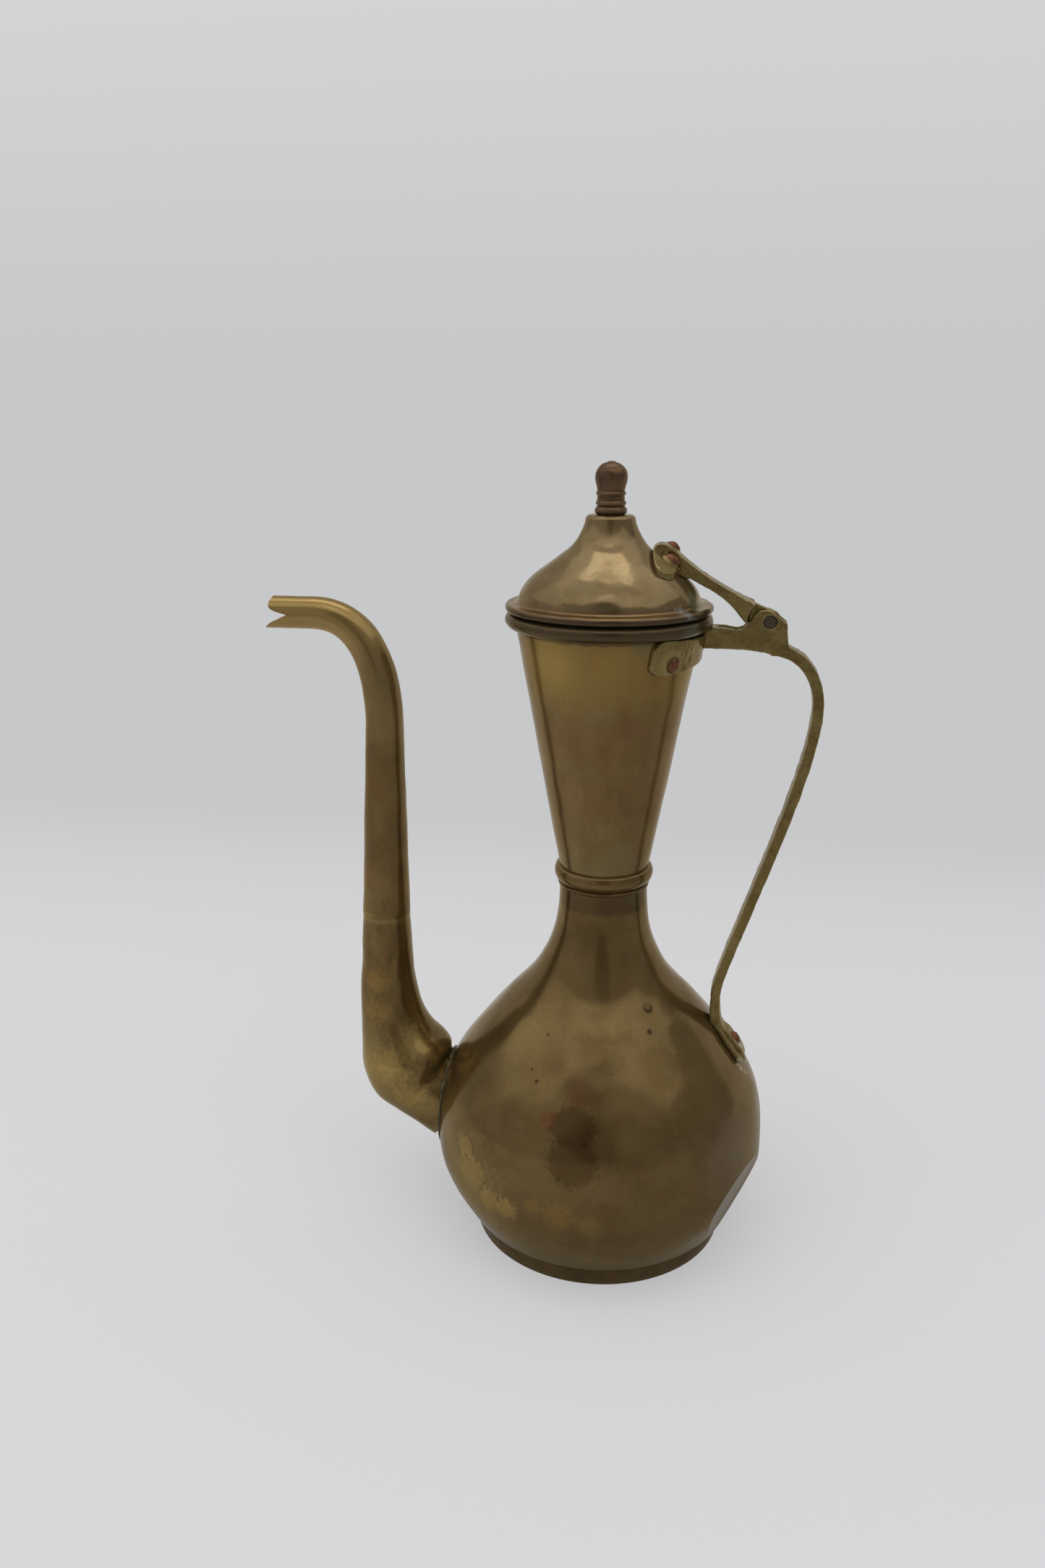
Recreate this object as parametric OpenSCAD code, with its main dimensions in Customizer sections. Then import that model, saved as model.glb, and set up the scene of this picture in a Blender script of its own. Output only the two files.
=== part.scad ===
// Long-necked brass ewer with a hinged lid and a swan-neck spout. Millimetres, +Z up.
// The origin is the centre of the foot ring's bottom plane; the handle is on +X, the spout on -X.

/* [Foot] */
// Diameter of the foot ring where it stands
foot_d = 110; // [96:1:114]
// Height of the foot ring
foot_h = 9.4; // [6:0.2:14]
// How far the foot ring leans out from its bottom to its top
foot_lean = 1.5; // [0:0.1:3]
// Sheet thickness of the foot ring
foot_sheet = 1.6; // [1:0.1:2.4]

/* [Bulb] */
// Diameter of the bulb at its widest
belly_d = 144.6; // [140:0.2:149]
// Height of the widest point above the foot ring
belly_rise = 33.5; // [30:0.5:37]
// Diameter of the bulb's neck
neck_d = 37.3; // [34:0.1:41]
// Height of the bulb, from the foot ring to the top of its neck
bulb_h = 156.6; // [150:0.2:164]
// Height above the foot ring of the brazed joint between the bulb and its neck piece
shoulder_h = 116.6; // [110:0.2:124]
// Sheet thickness of the bulb
bulb_sheet = 1.2; // [0.9:0.1:1.6]
// How far the bulb's lower edge stands out past the foot ring
edge_out = 2.6; // [1.6:0.1:4]
// Width of the bulb's turned-in lip inside the foot ring
lip_w = 5.5; // [3.5:0.1:8]
// Thickness of the base disc
base_t = 1.2; // [0.8:0.1:2]

/* [Neck and mouth] */
// Height from the bulb's neck to the middle of the mouth's rolled rim
cone_h = 108.8; // [100:0.2:116]
// Outer diameter of the mouth's rolled rim
mouth_d = 83.6; // [78:0.2:86]
// Radius of the mouth's rolled rim
mouth_roll = 3; // [2.6:0.1:3.4]
// Sheet thickness of the neck cone
cone_sheet = 1.1; // [0.8:0.1:1.4]
// How deep the cone's lower end slips into the bulb's neck
cone_lap = 10; // [6:0.5:14]
// Largest diameter of the collar bead
collar_d = 42; // [40:0.2:46]
// Height of the collar
collar_h = 10; // [8:0.2:13]

/* [Lid] */
// Outer diameter of the lid's rolled edge
lid_d = 83.6; // [80:0.2:86]
// Radius of the lid's rolled edge
lid_roll = 1.7; // [1.5:0.1:2.4]
// Height of the dome above the middle of the lid's rolled edge
dome_h = 36.2; // [33:0.2:39]
// Radius of the dome where its curve changes from round to hollow
dome_waist = 17.9; // [16.5:0.1:19.5]
// Height of that change above the middle of the rolled edge
dome_waist_h = 21.8; // [20:0.1:23]
// Radius of the dome's small flat-topped peak
peak_r = 10; // [8.4:0.1:11]
// Sheet thickness of the dome
dome_sheet = 1; // [0.8:0.1:1.2]
// Depth of the lid's inner ring below the middle of its rolled edge
bezel_drop = 10; // [5:0.5:14]
// Sheet thickness of the lid's inner ring
bezel_sheet = 0.9; // [0.6:0.1:1.2]
// Diameter of the finial's round head
finial_d = 13; // [12.4:0.1:15]
// Height of the finial
finial_h = 20.4; // [19:0.2:24]

/* [Handle] */
// Distance of the hinge pin from the pot's axis
hinge_reach = 63.8; // [62.4:0.1:65.4]
// Height of the hinge pin above the middle of the mouth's rolled rim
hinge_rise = 0.85; // [0.5:0.05:1.4]
// Width of the handle and its two ears
handle_w = 9; // [8:0.1:11]
// Farthest reach of the handle's middle line from the pot's axis
grip_reach = 84.5; // [80:0.1:92]
// Drop from the hinge pin to that farthest point
grip_drop = 32.6; // [28:0.2:38]
// Distance of the handle's lower end from the pot's axis
heel_reach = 49.5; // [48:0.1:51]
// Height above the foot ring at which the handle starts to spread into its foot
heel_h = 103.6; // [100:0.2:108]
// Thickness of the handle near its top
grip_t = 4.8; // [4:0.1:5.6]
// Thickness of the handle near its foot
heel_t = 4; // [3.4:0.1:4.8]
// Thickness of the handle's leaves
leaf_t = 2.3; // [1.8:0.1:2.8]
// Width of the slot between the two ears
slot_w = 3.8; // [3:0.1:4.6]
// Radius of the hinge pin
pin_r = 2.6; // [1.8:0.1:2.8]

/* [Lid strap] */
// Width of the lid strap's tongue between the ears
tongue_w = 3.4; // [2.4:0.1:3.4]
// Width of the lid strap's shoulder beside the ears
shoulder_w = 12; // [10:0.2:14]
// Thickness of the strap's pad on the dome
pad_t = 2.2; // [1.8:0.1:2.8]

/* [Rivets] */
// Radius of the rivets' shanks
shank_r = 1.6; // [1.2:0.1:2]
// Radius of the rivets' round heads
head_r = 3.2; // [2.8:0.1:3.4]
// Height of the rivets' round heads
head_h = 1.5; // [1:0.1:2.2]

/* [Spout] */
// Height of the spout's root above the foot ring
root_h = 45.7; // [43:0.1:48]
// Outer diameter of the spout's root
root_d = 37; // [34:0.2:39]
// Distance of the spout's upright stretch from the pot's axis
spout_reach = 96.4; // [94:0.1:100]
// Height of the joint between the spout's two pieces above the foot ring
joint_h = 132.4; // [120:0.2:142]
// Outer diameter of the spout at that joint
joint_d = 21; // [19:0.2:23]
// Outer diameter of the spout's upper end
beak_d = 13.5; // [12.6:0.1:15]
// Height of the beak's middle line above the foot ring
beak_h = 264.6; // [256:0.2:272]
// Distance of the beak's lower lip from the pot's axis
beak_reach = 143.5; // [139:0.1:150]
// Length of the slit in the beak
slit_l = 10.7; // [8:0.1:14]
// Wall thickness of the spout
spout_wall = 1.1; // [0.8:0.1:1.6]

/* [Hidden] */
$fn = 96;

// Clearances: between fitted pieces of one body, and between the pot and its lid.
fit = 0.05;
lid_gap = 0.3;
// Long enough to cut right through any piece.
far = 60;

// Heights
lip_z = foot_h;
bulb_top = lip_z + bulb_h;
shoulder_z = lip_z + shoulder_h;
mouth_z = bulb_top + cone_h;
lid_z = mouth_z + mouth_roll + lid_gap + lid_roll;
peak_z = lid_z + dome_h;
hinge_z = mouth_z + hinge_rise;

// Radii
foot_r = foot_d / 2;
foot_top_r = foot_r + foot_lean;
belly_r = belly_d / 2;
neck_r = neck_d / 2;
mouth_r = mouth_d / 2 - mouth_roll;
lid_r = lid_d / 2 - lid_roll;
// The rolled rim stands a little outside the cone's wall.
roll_out = 0.8;
cone_foot_r = neck_r - 0.6;
cone_slope = (mouth_r - roll_out - cone_foot_r) / cone_h;
cone_tilt = atan(cone_slope);

// --- Curves -------------------------------------------------------------------------------

function tail(v) = [for (i = [1:len(v) - 1]) v[i]];
function flip(v) = [for (i = [len(v) - 1:-1:0]) v[i]];
function along(p, angle, d) = p + d * [cos(angle), sin(angle)];
function bez(p, n) =
    [for (i = [0:n]) let (t = i / n, u = 1 - t)
        u * u * u * p[0] + 3 * u * u * t * p[1] + 3 * u * t * t * p[2] + t * t * t * p[3]];
function arc(c, r, a0, a1, n) = [for (i = [0:n]) along(c, a0 + (a1 - a0) * i / n, r)];

// The same curve moved to the left of its own direction, which is inwards on a rising wall.
function inset(v, d) =
    [for (i = [0:len(v) - 1])
        let (a = v[max(i - 1, 0)], b = v[min(i + 1, len(v) - 1)], t = (b - a) / norm(b - a))
        v[i] + d * [-t[1], t[0]]];

function radius_at(v, z) = lookup(z, [for (p = v) [p[1], p[0]]]);
// How far the wall's outward direction points up from level.
function rise_at(v, z) = atan((radius_at(v, z - 2) - radius_at(v, z + 2)) / 4);

// Bulb: rounded edge, belly, then the hollow sweep up to the neck.
edge_r = foot_top_r + edge_out;
edge_turn = 1.4;
bulb_edge = [edge_r + 0.84, lip_z + 2.6];
bulb_belly = [belly_r, lip_z + belly_rise];
bulb_waist = [belly_r * 0.42 + neck_r * 0.6, lip_z + bulb_h * 0.631];
bulb_neck = [neck_r, bulb_top - 6];
edge_angle = 59.8;
waist_angle = 130.4;
bulb_outer = concat(
    bez([[edge_r - 1.9, lip_z], [edge_r - 0.5, lip_z],
         along(bulb_edge, edge_angle, -edge_turn), bulb_edge], 4),
    tail(bez([bulb_edge, along(bulb_edge, edge_angle, 7.7), bulb_belly - [0, 12], bulb_belly], 7)),
    tail(bez([bulb_belly, bulb_belly + [0, 29], along(bulb_waist, waist_angle, -39.3), bulb_waist], 12)),
    tail(bez([bulb_waist, along(bulb_waist, waist_angle, 9.4), bulb_neck - [0, 32.65], bulb_neck], 10)),
    [[neck_r, bulb_top]]);

cone_outer = [[cone_foot_r, bulb_top], [cone_foot_r + cone_slope * cone_h, mouth_z]];

// Lid: a round shoulder that turns hollow and ends in a small flat-topped peak.
dome_edge = [lid_r - 3.4, lid_z + 2.8];
dome_turn = [dome_waist, lid_z + dome_waist_h];
dome_top = [peak_r, peak_z - 2.3];
turn_angle = 144.4;
dome_outer = concat(
    bez([dome_edge, along(dome_edge, 99.8, 6.8), along(dome_turn, turn_angle, -11.6), dome_turn], 12),
    tail(bez([dome_turn, along(dome_turn, turn_angle, 6.8), dome_top - [0, 0.8], dome_top], 8)),
    tail(bez([dome_top, dome_top + [0, 1.4], [peak_r - 1, peak_z], [peak_r - 2.4, peak_z]], 4)));

// A curve closed to the axis, as the half section of a filled solid.
module filled(v) {
    polygon(concat([[0, v[0][1]]], v, [[0, v[len(v) - 1][1]]]));
}

// A skin that lies on a turned surface from d0 to d1 outside it.
module skin(v, d0, d1) {
    rotate_extrude() difference() {
        filled(inset(v, -d1));
        filled(inset(v, -d0));
    }
}

module turned(v, grow = 0) {
    rotate_extrude() filled(inset(v, -grow));
}

// --- Places -------------------------------------------------------------------------------

// Local +Z is the wall's outward direction and local +X runs down the wall.
module on_wall(v, z, turn = 0) {
    rotate([0, 0, turn]) translate([radius_at(v, z), 0, z]) rotate([0, 90 - rise_at(v, z), 0])
        children();
}

neck_rivet_z = mouth_z - 13;
neck_rivet_turn = 42.7;
foot_rivet_z = lip_z + 81;
// The far rivet holds the pad higher up the dome than the near one, and on a taller boss.
function lid_rivet_z(side) = lid_z + (side < 0 ? 17.5 : 18.7);
function lid_seat(side) = pad_t + (side < 0 ? 0.8 : 3.6);
lid_rivet_turn = 14.4;
// The cone's wall leans out, so its outward direction points a little down.
module on_cone(z, turn) {
    rotate([0, 0, turn]) translate([cone_foot_r + cone_slope * (z - bulb_top), 0, z])
        rotate([0, 90 + cone_tilt, 0]) children();
}
module at_neck_rivet(side) on_cone(neck_rivet_z, side * neck_rivet_turn) children();
module at_foot_rivet() on_wall(bulb_outer, foot_rivet_z) children();
module at_lid_rivet(side) on_wall(dome_outer, lid_rivet_z(side), side * lid_rivet_turn) children();
module at_hinge() translate([hinge_reach, 0, hinge_z]) rotate([90, 0, 0]) children();
// A shape drawn in the X-Z plane, drawn out to the given width across the pot's middle plane.
module side_plate(width) rotate([90, 0, 0]) linear_extrude(height = width, center = true) children();

// Seats of the rivet heads above the sheet that they hold to.
neck_seat = leaf_t - 0.3;
foot_seat = 3.6;

module rivet_bore(grow = 0) cylinder(r = shank_r + fit + grow, h = far, center = true);
module head_seat(seat) translate([0, 0, seat]) cylinder(r = head_r + 0.3, h = far);

// A round-headed rivet: the head on its seat, the shank, and the burr spread inside the sheet.
module rivet(seat, sheet, head = head_h) {
    dome_r = (head_r * head_r + head * head) / (2 * head);
    burr_h = 1;
    burr_z = -sheet - 0.2 - burr_h;
    translate([0, 0, seat]) rotate_extrude() intersection() {
        translate([0, head - dome_r]) circle(r = dome_r);
        square([head_r, head]);
    }
    translate([0, 0, burr_z]) cylinder(r = shank_r, h = seat - burr_z + head / 2);
    translate([0, 0, burr_z]) cylinder(r = shank_r + 1, h = burr_h);
}

// --- Foot and bulb ------------------------------------------------------------------------

module foot_ring() color("#5a4326") rotate_extrude()
    polygon([[foot_r - foot_sheet, 0], [foot_r, 0], [foot_top_r, foot_h], [foot_top_r - foot_sheet, foot_h]]);

base_r = foot_r + foot_lean * (1 - base_t / foot_h) - foot_sheet - fit;
module base_disc() color("#7a5d33") translate([0, 0, lip_z - base_t]) cylinder(r = base_r, h = base_t);

// Half section of the whole bulb; its bowl and its neck each take their side of the joint.
module bulb_section() polygon(concat(
    [[foot_top_r - lip_w, lip_z]], bulb_outer,
    flip(inset(bulb_outer, bulb_sheet)), [[foot_top_r - lip_w, lip_z + bulb_sheet]]));
module above_joint() translate([0, shoulder_z]) square(2 * far);

module bulb_neck() color("#7b653d") rotate_extrude() intersection() {
    bulb_section();
    above_joint();
}

module bulb() color("#806a41") difference() {
    rotate_extrude() difference() {
        bulb_section();
        above_joint();
    }
    at_root() cylinder(r = root_d / 2 + fit, h = far, center = true);
    at_foot_rivet() rivet_bore();
}

// --- Neck ---------------------------------------------------------------------------------

collar_z = bulb_top - 4.5;
collar_bead = collar_h / 2 - 0.4;
module neck_collar() color("#77603a") rotate_extrude() difference() {
    intersection() {
        union() {
            translate([collar_d / 2 - collar_bead, bulb_top + 1.4]) circle(r = collar_bead);
            translate([0, collar_z]) square([neck_r + 0.8, collar_h / 2]);
        }
        translate([0, collar_z]) square([collar_d, collar_h]);
    }
    translate([0, -far]) square([neck_r + fit, collar_z + collar_h / 2 + far]);
    polygon([[0, bulb_top], [cone_foot_r + 2 * fit, bulb_top],
             [cone_foot_r + 2 * fit + cone_slope * cone_h, mouth_z], [0, mouth_z]]);
}

// Half section of a sheet rolled round a wire, with the fine gap where the sheet's edge meets it.
module rolled_edge(r, sheet) {
    slit_w = 0.4;
    difference() {
        circle(r = r);
        circle(r = r - sheet);
        translate([0, -slit_w / 2]) square([r + 1, slit_w]);
    }
}

spigot_r = neck_r - bulb_sheet - fit;
module neck_cone() color("#8a6a30") difference() {
    rotate_extrude() {
        difference() {
            polygon(concat(
                [[spigot_r, bulb_top - cone_lap], [spigot_r, bulb_top]], cone_outer,
                flip(inset(cone_outer, cone_sheet)),
                [[spigot_r - cone_sheet, bulb_top - 1], [spigot_r - cone_sheet, bulb_top - cone_lap]]));
            translate([mouth_r, mouth_z]) circle(r = mouth_roll - cone_sheet);
        }
        translate([mouth_r, mouth_z]) rotate(265) rolled_edge(mouth_roll, cone_sheet);
    }
    for (side = [-1, 1]) at_neck_rivet(side) rivet_bore();
}

module mouth_wire() color("#3c3a36") translate([0, 0, mouth_z]) rotate_extrude()
    translate([mouth_r, 0]) circle(r = mouth_roll - cone_sheet - fit);

module neck_rivet_near() color("#8a5433") at_neck_rivet(-1) rivet(neck_seat, cone_sheet);
module neck_rivet_far() color("#8a5433") at_neck_rivet(1) rivet(neck_seat, cone_sheet);
module foot_rivet() color("#8a5433") at_foot_rivet() rivet(foot_seat, bulb_sheet);

// --- Spout --------------------------------------------------------------------------------

// The middle line is drawn in the plane of distance from the axis and height.
root_angle = 32.7;
root_r = root_d / 2;
joint_r = joint_d / 2;
beak_r = beak_d / 2;
root_in = [belly_r - 6.3, lip_z + root_h - 4.2];
root_out = along(root_in, root_angle, 14.3);
elbow_end = [spout_reach, lip_z + 104];
joint = [spout_reach - 0.3, lip_z + joint_h];
bend_start = [spout_reach - 2.1, lip_z + beak_h - 46];
beak_start = [bend_start[0] + 29.7, lip_z + beak_h];
beak_end = [beak_reach + 1, lip_z + beak_h];
swell_r = root_r + 2.4;
elbow_end_r = joint_r + 1.4;
bend_r = beak_r + 1.2;
spout_sides = 24;

elbow_steps = 12;
elbow_line = bez([root_out, along(root_out, root_angle, 10.7), elbow_end - [0.6, 33.5], elbow_end],
                 elbow_steps);
function elbow_radius(t) =
    lookup(t, [[0, root_r], [0.12, root_r + 0.4], [0.3, swell_r], [0.48, swell_r - 0.6],
               [0.64, (swell_r + elbow_end_r) / 2 + 0.4], [0.8, elbow_end_r + 2], [1, elbow_end_r]]);
function heading(v, i) =
    let (d = v[min(i + 1, len(v) - 1)] - v[max(i - 1, 0)]) atan2(d[1], d[0]);

// A ring is [centre, heading of its plane, radius across, radius along the plane's rise].
elbow_rings = concat(
    [[root_in, 0, root_r, root_r / cos(root_angle)], [root_out, root_angle, root_r, root_r]],
    [for (i = [1:elbow_steps]) let (r = elbow_radius(i / elbow_steps))
        [elbow_line[i], heading(elbow_line, i), r, r]],
    [[joint, 90, joint_r, joint_r]]);

bend_steps = 10;
bend_line = bez([bend_start, bend_start + [0, 29], beak_start - [20, 0], beak_start], bend_steps);
lap = 8;
lap_r = joint_r - spout_wall - fit;
tube_outer = concat(
    [[joint - [0, lap], 90, lap_r, lap_r], [joint, 90, lap_r, lap_r], [joint, 90, joint_r, joint_r]],
    [for (i = [0:bend_steps]) let (r = bend_r + (beak_r - bend_r) * i / bend_steps)
        [bend_line[i], heading(bend_line, i), r, r]],
    [[beak_end, 0, beak_r, beak_r]]);
tube_inner = concat(
    [for (z = [-lap, 0]) [joint + [0, z], 90, lap_r - spout_wall, lap_r - spout_wall]],
    [for (i = [3:len(tube_outer) - 1])
        let (q = tube_outer[i]) [q[0], q[1], q[2] - spout_wall, q[3] - spout_wall]]);

function shrink(rings, d) = [for (q = rings) [q[0], q[1], q[2] - d, q[3] - d]];
function ring_points(q) =
    [for (k = [0:spout_sides - 1]) let (a = 360 * k / spout_sides)
        [-(q[0][0] - q[3] * sin(a) * sin(q[1])), q[2] * cos(a), q[0][1] + q[3] * sin(a) * cos(q[1])]];

// A tube skinned over its outer rings and back over its inner ones, closed at both ends.
module tube(outer, inner) {
    rings = concat(outer, flip(inner));
    n = len(rings);
    polyhedron(
        points = [for (q = rings) each ring_points(q)],
        faces = [for (i = [0:n - 1], k = [0:spout_sides - 1], half = [0, 1])
            let (j = (i + 1) % n, m = (k + 1) % spout_sides,
                 a = i * spout_sides + k, b = i * spout_sides + m,
                 c = j * spout_sides + m, d = j * spout_sides + k)
            half == 0 ? [a, c, b] : [a, d, c]]);
}

module at_root() translate([-root_in[0], 0, root_in[1]]) rotate([0, root_angle - 90, 0]) children();

module spout_elbow() color("#7d673c") tube(elbow_rings, shrink(elbow_rings, spout_wall));

// The beak's end: a rounded upper lip, the slit, and a pointed lower lip.
module spout_tube() color("#77623c") difference() {
    tube(tube_outer, tube_inner);
    side_plate(far) translate([-beak_reach, lip_z + beak_h]) polygon([
        [slit_l, -0.2], [4.9, 1.5], [2.9, 2.8], [2.5, 4.2], [3.2, 6], [4.5, far], [-far, far],
        [-far, -far], [1.4, -far], [0.7, -7], [0.1, -6.2], [1.6, -4.8], [5, -2.8]]);
}

seam_h = 1.1;
seam_w = 1.6;
module spout_seam() color("#5f5a45") intersection() {
    skin(bulb_outer, 0.02, seam_h);
    at_root() difference() {
        cylinder(r = root_r + seam_w, h = far);
        cylinder(r = root_r + fit, h = 3 * far, center = true);
    }
}

// --- Handle -------------------------------------------------------------------------------

hinge = [hinge_reach, hinge_z];
grip_far = [grip_reach, hinge_z - grip_drop];
heel = [heel_reach, lip_z + heel_h];
strap_line = concat(
    bez([hinge + [1.2, -10.9], hinge + [13.2, -11.1], grip_far + [-0.6, 11.4], grip_far], 10),
    tail(bez([grip_far, grip_far + [1.6, -28.4], heel + [-0.6, 11.3], heel], 14)));
// Half the strap's thickness, easing from the grip to the heel.
function strap_half(i) = (grip_t + (heel_t - grip_t) * i / (len(strap_line) - 1)) / 2;
strap_outer = [for (i = [0:len(strap_line) - 1]) inset(strap_line, strap_half(i))[i]];
strap_inner = [for (i = [0:len(strap_line) - 1]) inset(strap_line, -strap_half(i))[i]];

// The strap seen from the side, running down into its foot against the bulb.
function off_bulb(z, d) = along([radius_at(bulb_outer, z), z], rise_at(bulb_outer, z), d);
toe_z = lip_z + 73.4;
toe = off_bulb(toe_z, leaf_t);
knee = off_bulb(foot_rivet_z + head_r + 2.3, foot_seat - 0.6);
module strap_side() {
    polygon(concat(
        strap_outer,
        tail(bez([heel + [heel_t / 2, 0], heel + [heel_t / 2 + 0.4, -9], knee + [-2.2, 3.4], knee], 6)),
        [for (k = [1:3]) off_bulb(knee[1] + (toe_z - knee[1]) * k / 4, foot_seat)],
        [toe],
        [toe - [6, 2], [heel_reach - 10, lip_z + 80], [heel_reach - heel_t / 2, heel[1] - 14]],
        flip(strap_inner)));
}

// The bridge from the neck, with the two ears' outline, seen from the side.
module ear_side() {
    bridge_in = mouth_r - 4;
    polygon(concat(
        [[bridge_in, hinge_z - 11.2], hinge + [-9.4, -11.2], hinge + [3.4, -13.1], hinge + [10, -15.6],
         hinge + [7.6, -8.6], hinge + [7, -4.4]],
        arc(hinge + [5.9, -1.1], 1, 0, 60, 3),
        arc(hinge + [-1.9, -0.5], 5.3, 50, 165, 8),
        [hinge + [-8.4, -0.6], hinge + [-10.2, -2.8], hinge + [-12.6, -3.4], hinge + [-17.4, -2.6],
         [bridge_in, hinge_z - 2.6]]));
}

leaf_turn = 35;
leaf_far = 15;
leaf_near = 20.5;
leaf_top = mouth_z - mouth_roll + fit;
leaf_low = mouth_z - 17.3;
leaf_corner = 4.6;
// One of the two leaves that lie round the neck, as a skin trimmed to a round-ended outline.
module neck_leaf(side) {
    c = leaf_corner;
    outline = concat(
        [[-leaf_near, leaf_low + 1.8]],
        arc([leaf_far - c, leaf_low + c], c, -90, 0, 5),
        arc([leaf_far - c, leaf_top - c], c, 0, 90, 5),
        [[-leaf_near, leaf_top - 1.8]]);
    intersection() {
        rotate_extrude() difference() {
            polygon(concat([[0, bulb_top]], inset(cone_outer, -leaf_t), [[0, mouth_z]]));
            polygon(concat([[0, bulb_top]], inset(cone_outer, -fit), [[0, mouth_z]]));
        }
        mirror([0, side < 0 ? 1 : 0, 0]) rotate([0, 0, leaf_turn]) rotate([90, 0, 90])
            linear_extrude(height = far) polygon(outline);
    }
}

// The foot's leaf on the bulb, wider towards its lower end.
module foot_leaf() {
    half = [[-14, 3.6], [-3.6, 7.2], [5.2, 8.7], [7.6, 8], [8.6, 5.6]];
    intersection() {
        skin(bulb_outer, fit, leaf_t);
        at_foot_rivet() linear_extrude(height = far, center = true)
            polygon(concat(half, [for (p = flip(half)) [p[0], -p[1]]]));
    }
}

module handle() color("#8c7a42") difference() {
    union() {
        for (side = [-1, 1]) neck_leaf(side);
        foot_leaf();
        side_plate(handle_w) {
            ear_side();
            strap_side();
        }
    }
    turned(cone_outer, fit);
    turned(bulb_outer, fit);
    translate([0, 0, mouth_z]) rotate_extrude() translate([mouth_r, 0]) circle(r = mouth_roll + fit);
    // Slot for the lid strap's tongue, round about the pin and open above it.
    at_hinge() cylinder(r = slot_r, h = slot_w, center = true);
    translate([hinge_reach - 20, -slot_w / 2, hinge_z - 1.8]) cube([20 + 2 * slot_r, slot_w, far]);
    translate([hinge_reach - 20, -slot_w / 2, hinge_z - 4.4]) cube([20, slot_w, far]);
    at_hinge() cylinder(r = pin_r + fit, h = far, center = true);
    for (side = [-1, 1]) at_neck_rivet(side) {
        rivet_bore();
        head_seat(neck_seat);
    }
    at_foot_rivet() {
        rivet_bore();
        head_seat(foot_seat);
    }
}

module hinge_pin() color("#35322e") at_hinge() cylinder(r = pin_r, h = handle_w - 0.4, center = true);

// --- Lid ----------------------------------------------------------------------------------

tenon_r = 2.5;
// From the peak down the dome, out over its flared foot and under round the wire.
lid_skin = concat(
    flip(dome_outer),
    tail(bez([dome_edge, dome_edge + [0.2, -1], dome_edge + [1.7, -1.1], [lid_r, lid_z + lid_roll]], 6)),
    tail(arc([lid_r, lid_z], lid_roll, 90, -195, 16)));
module lid_dome() color("#7d683f") difference() {
    rotate_extrude() polygon(concat(
        [[0, peak_z]], lid_skin, flip(inset(lid_skin, -dome_sheet)), [[0, peak_z - dome_sheet]]));
    translate([0, 0, peak_z]) cylinder(r = tenon_r + fit, h = far, center = true);
    for (side = [-1, 1]) at_lid_rivet(side) rivet_bore();
}

module lid_wire() color("#3c3a36") translate([0, 0, lid_z]) rotate_extrude()
    translate([lid_r, 0]) circle(r = lid_roll - dome_sheet - fit);

// The inner ring slips into the mouth and is cut to the underside of the dome.
bezel_r = min(mouth_r - mouth_roll - 0.6, dome_edge[0] - dome_sheet - 0.3);
module lid_bezel() color("#77623c") rotate_extrude() intersection() {
    translate([bezel_r - bezel_sheet, lid_z - bezel_drop]) square([bezel_sheet, bezel_drop + 8]);
    union() {
        filled(inset(dome_outer, dome_sheet + fit));
        square([mouth_r, dome_edge[1]]);
    }
}

eye_r = 4.4;
slot_r = eye_r + 0.5;
shoulder_r = 8.9;
// The strap from the side: along the dome, over the rim and down to the eye.
module lid_strap_side() {
    polygon(concat(
        [hinge + [-24, 12.4], hinge + [-28.6, 14.6], hinge + [-40, 20], hinge + [-46.4, 26]],
        bez([hinge + [-46.4, 27.6], hinge + [-45.6, 30.4], hinge + [-42, 30.8], hinge + [-38, 27.2]], 6),
        tail(bez([hinge + [-38, 27.2], hinge + [-26, 16.8], hinge + [-20, 14.2], hinge + [-9.8, 8.9]], 6)),
        [hinge + [-6.8, 7.4], hinge + [-3.6, 6], hinge + [0, eye_r]],
        [hinge + [0, -eye_r], hinge + [-3.4, -3.4], hinge + [-6.2, -0.6], hinge + [-9.8, -0.5],
         hinge + [-14.1, 4.8], hinge + [-19.3, 9.2]]));
}

// The strap from above: the tongue, the shoulder that flares beside the ears, and the arm.
module lid_strap_plan() {
    arm = handle_w / 2;
    half = [[-6, tongue_w / 2], [-6.1, shoulder_w / 2], [-9.4, shoulder_w / 2], [-14, arm], [-60, arm]];
    translate([hinge_reach, 0]) polygon(concat(
        [[10, -tongue_w / 2], [10, tongue_w / 2]], half, [for (p = flip(half)) [p[0], -p[1]]]));
}

// The pad on the dome has two round lobes beside the arm.
module pad_plan() {
    nose = [17.4, 0];
    tip = [19.8, 18];
    waist = [26.6, 12.5];
    half = concat(
        bez([nose, nose + [0, 8], [17.4, 15.6], tip], 6),
        tail(bez([tip, tip + [1.8, 1.7], waist + [-0.2, 4.2], waist], 6)),
        tail(bez([waist, waist + [0.4, -3.5], [28.2, 5.4], [31.2, 4.4]], 5)));
    polygon(concat(half, [for (p = flip(tail(half))) [p[0], -p[1]]]));
}

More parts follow.
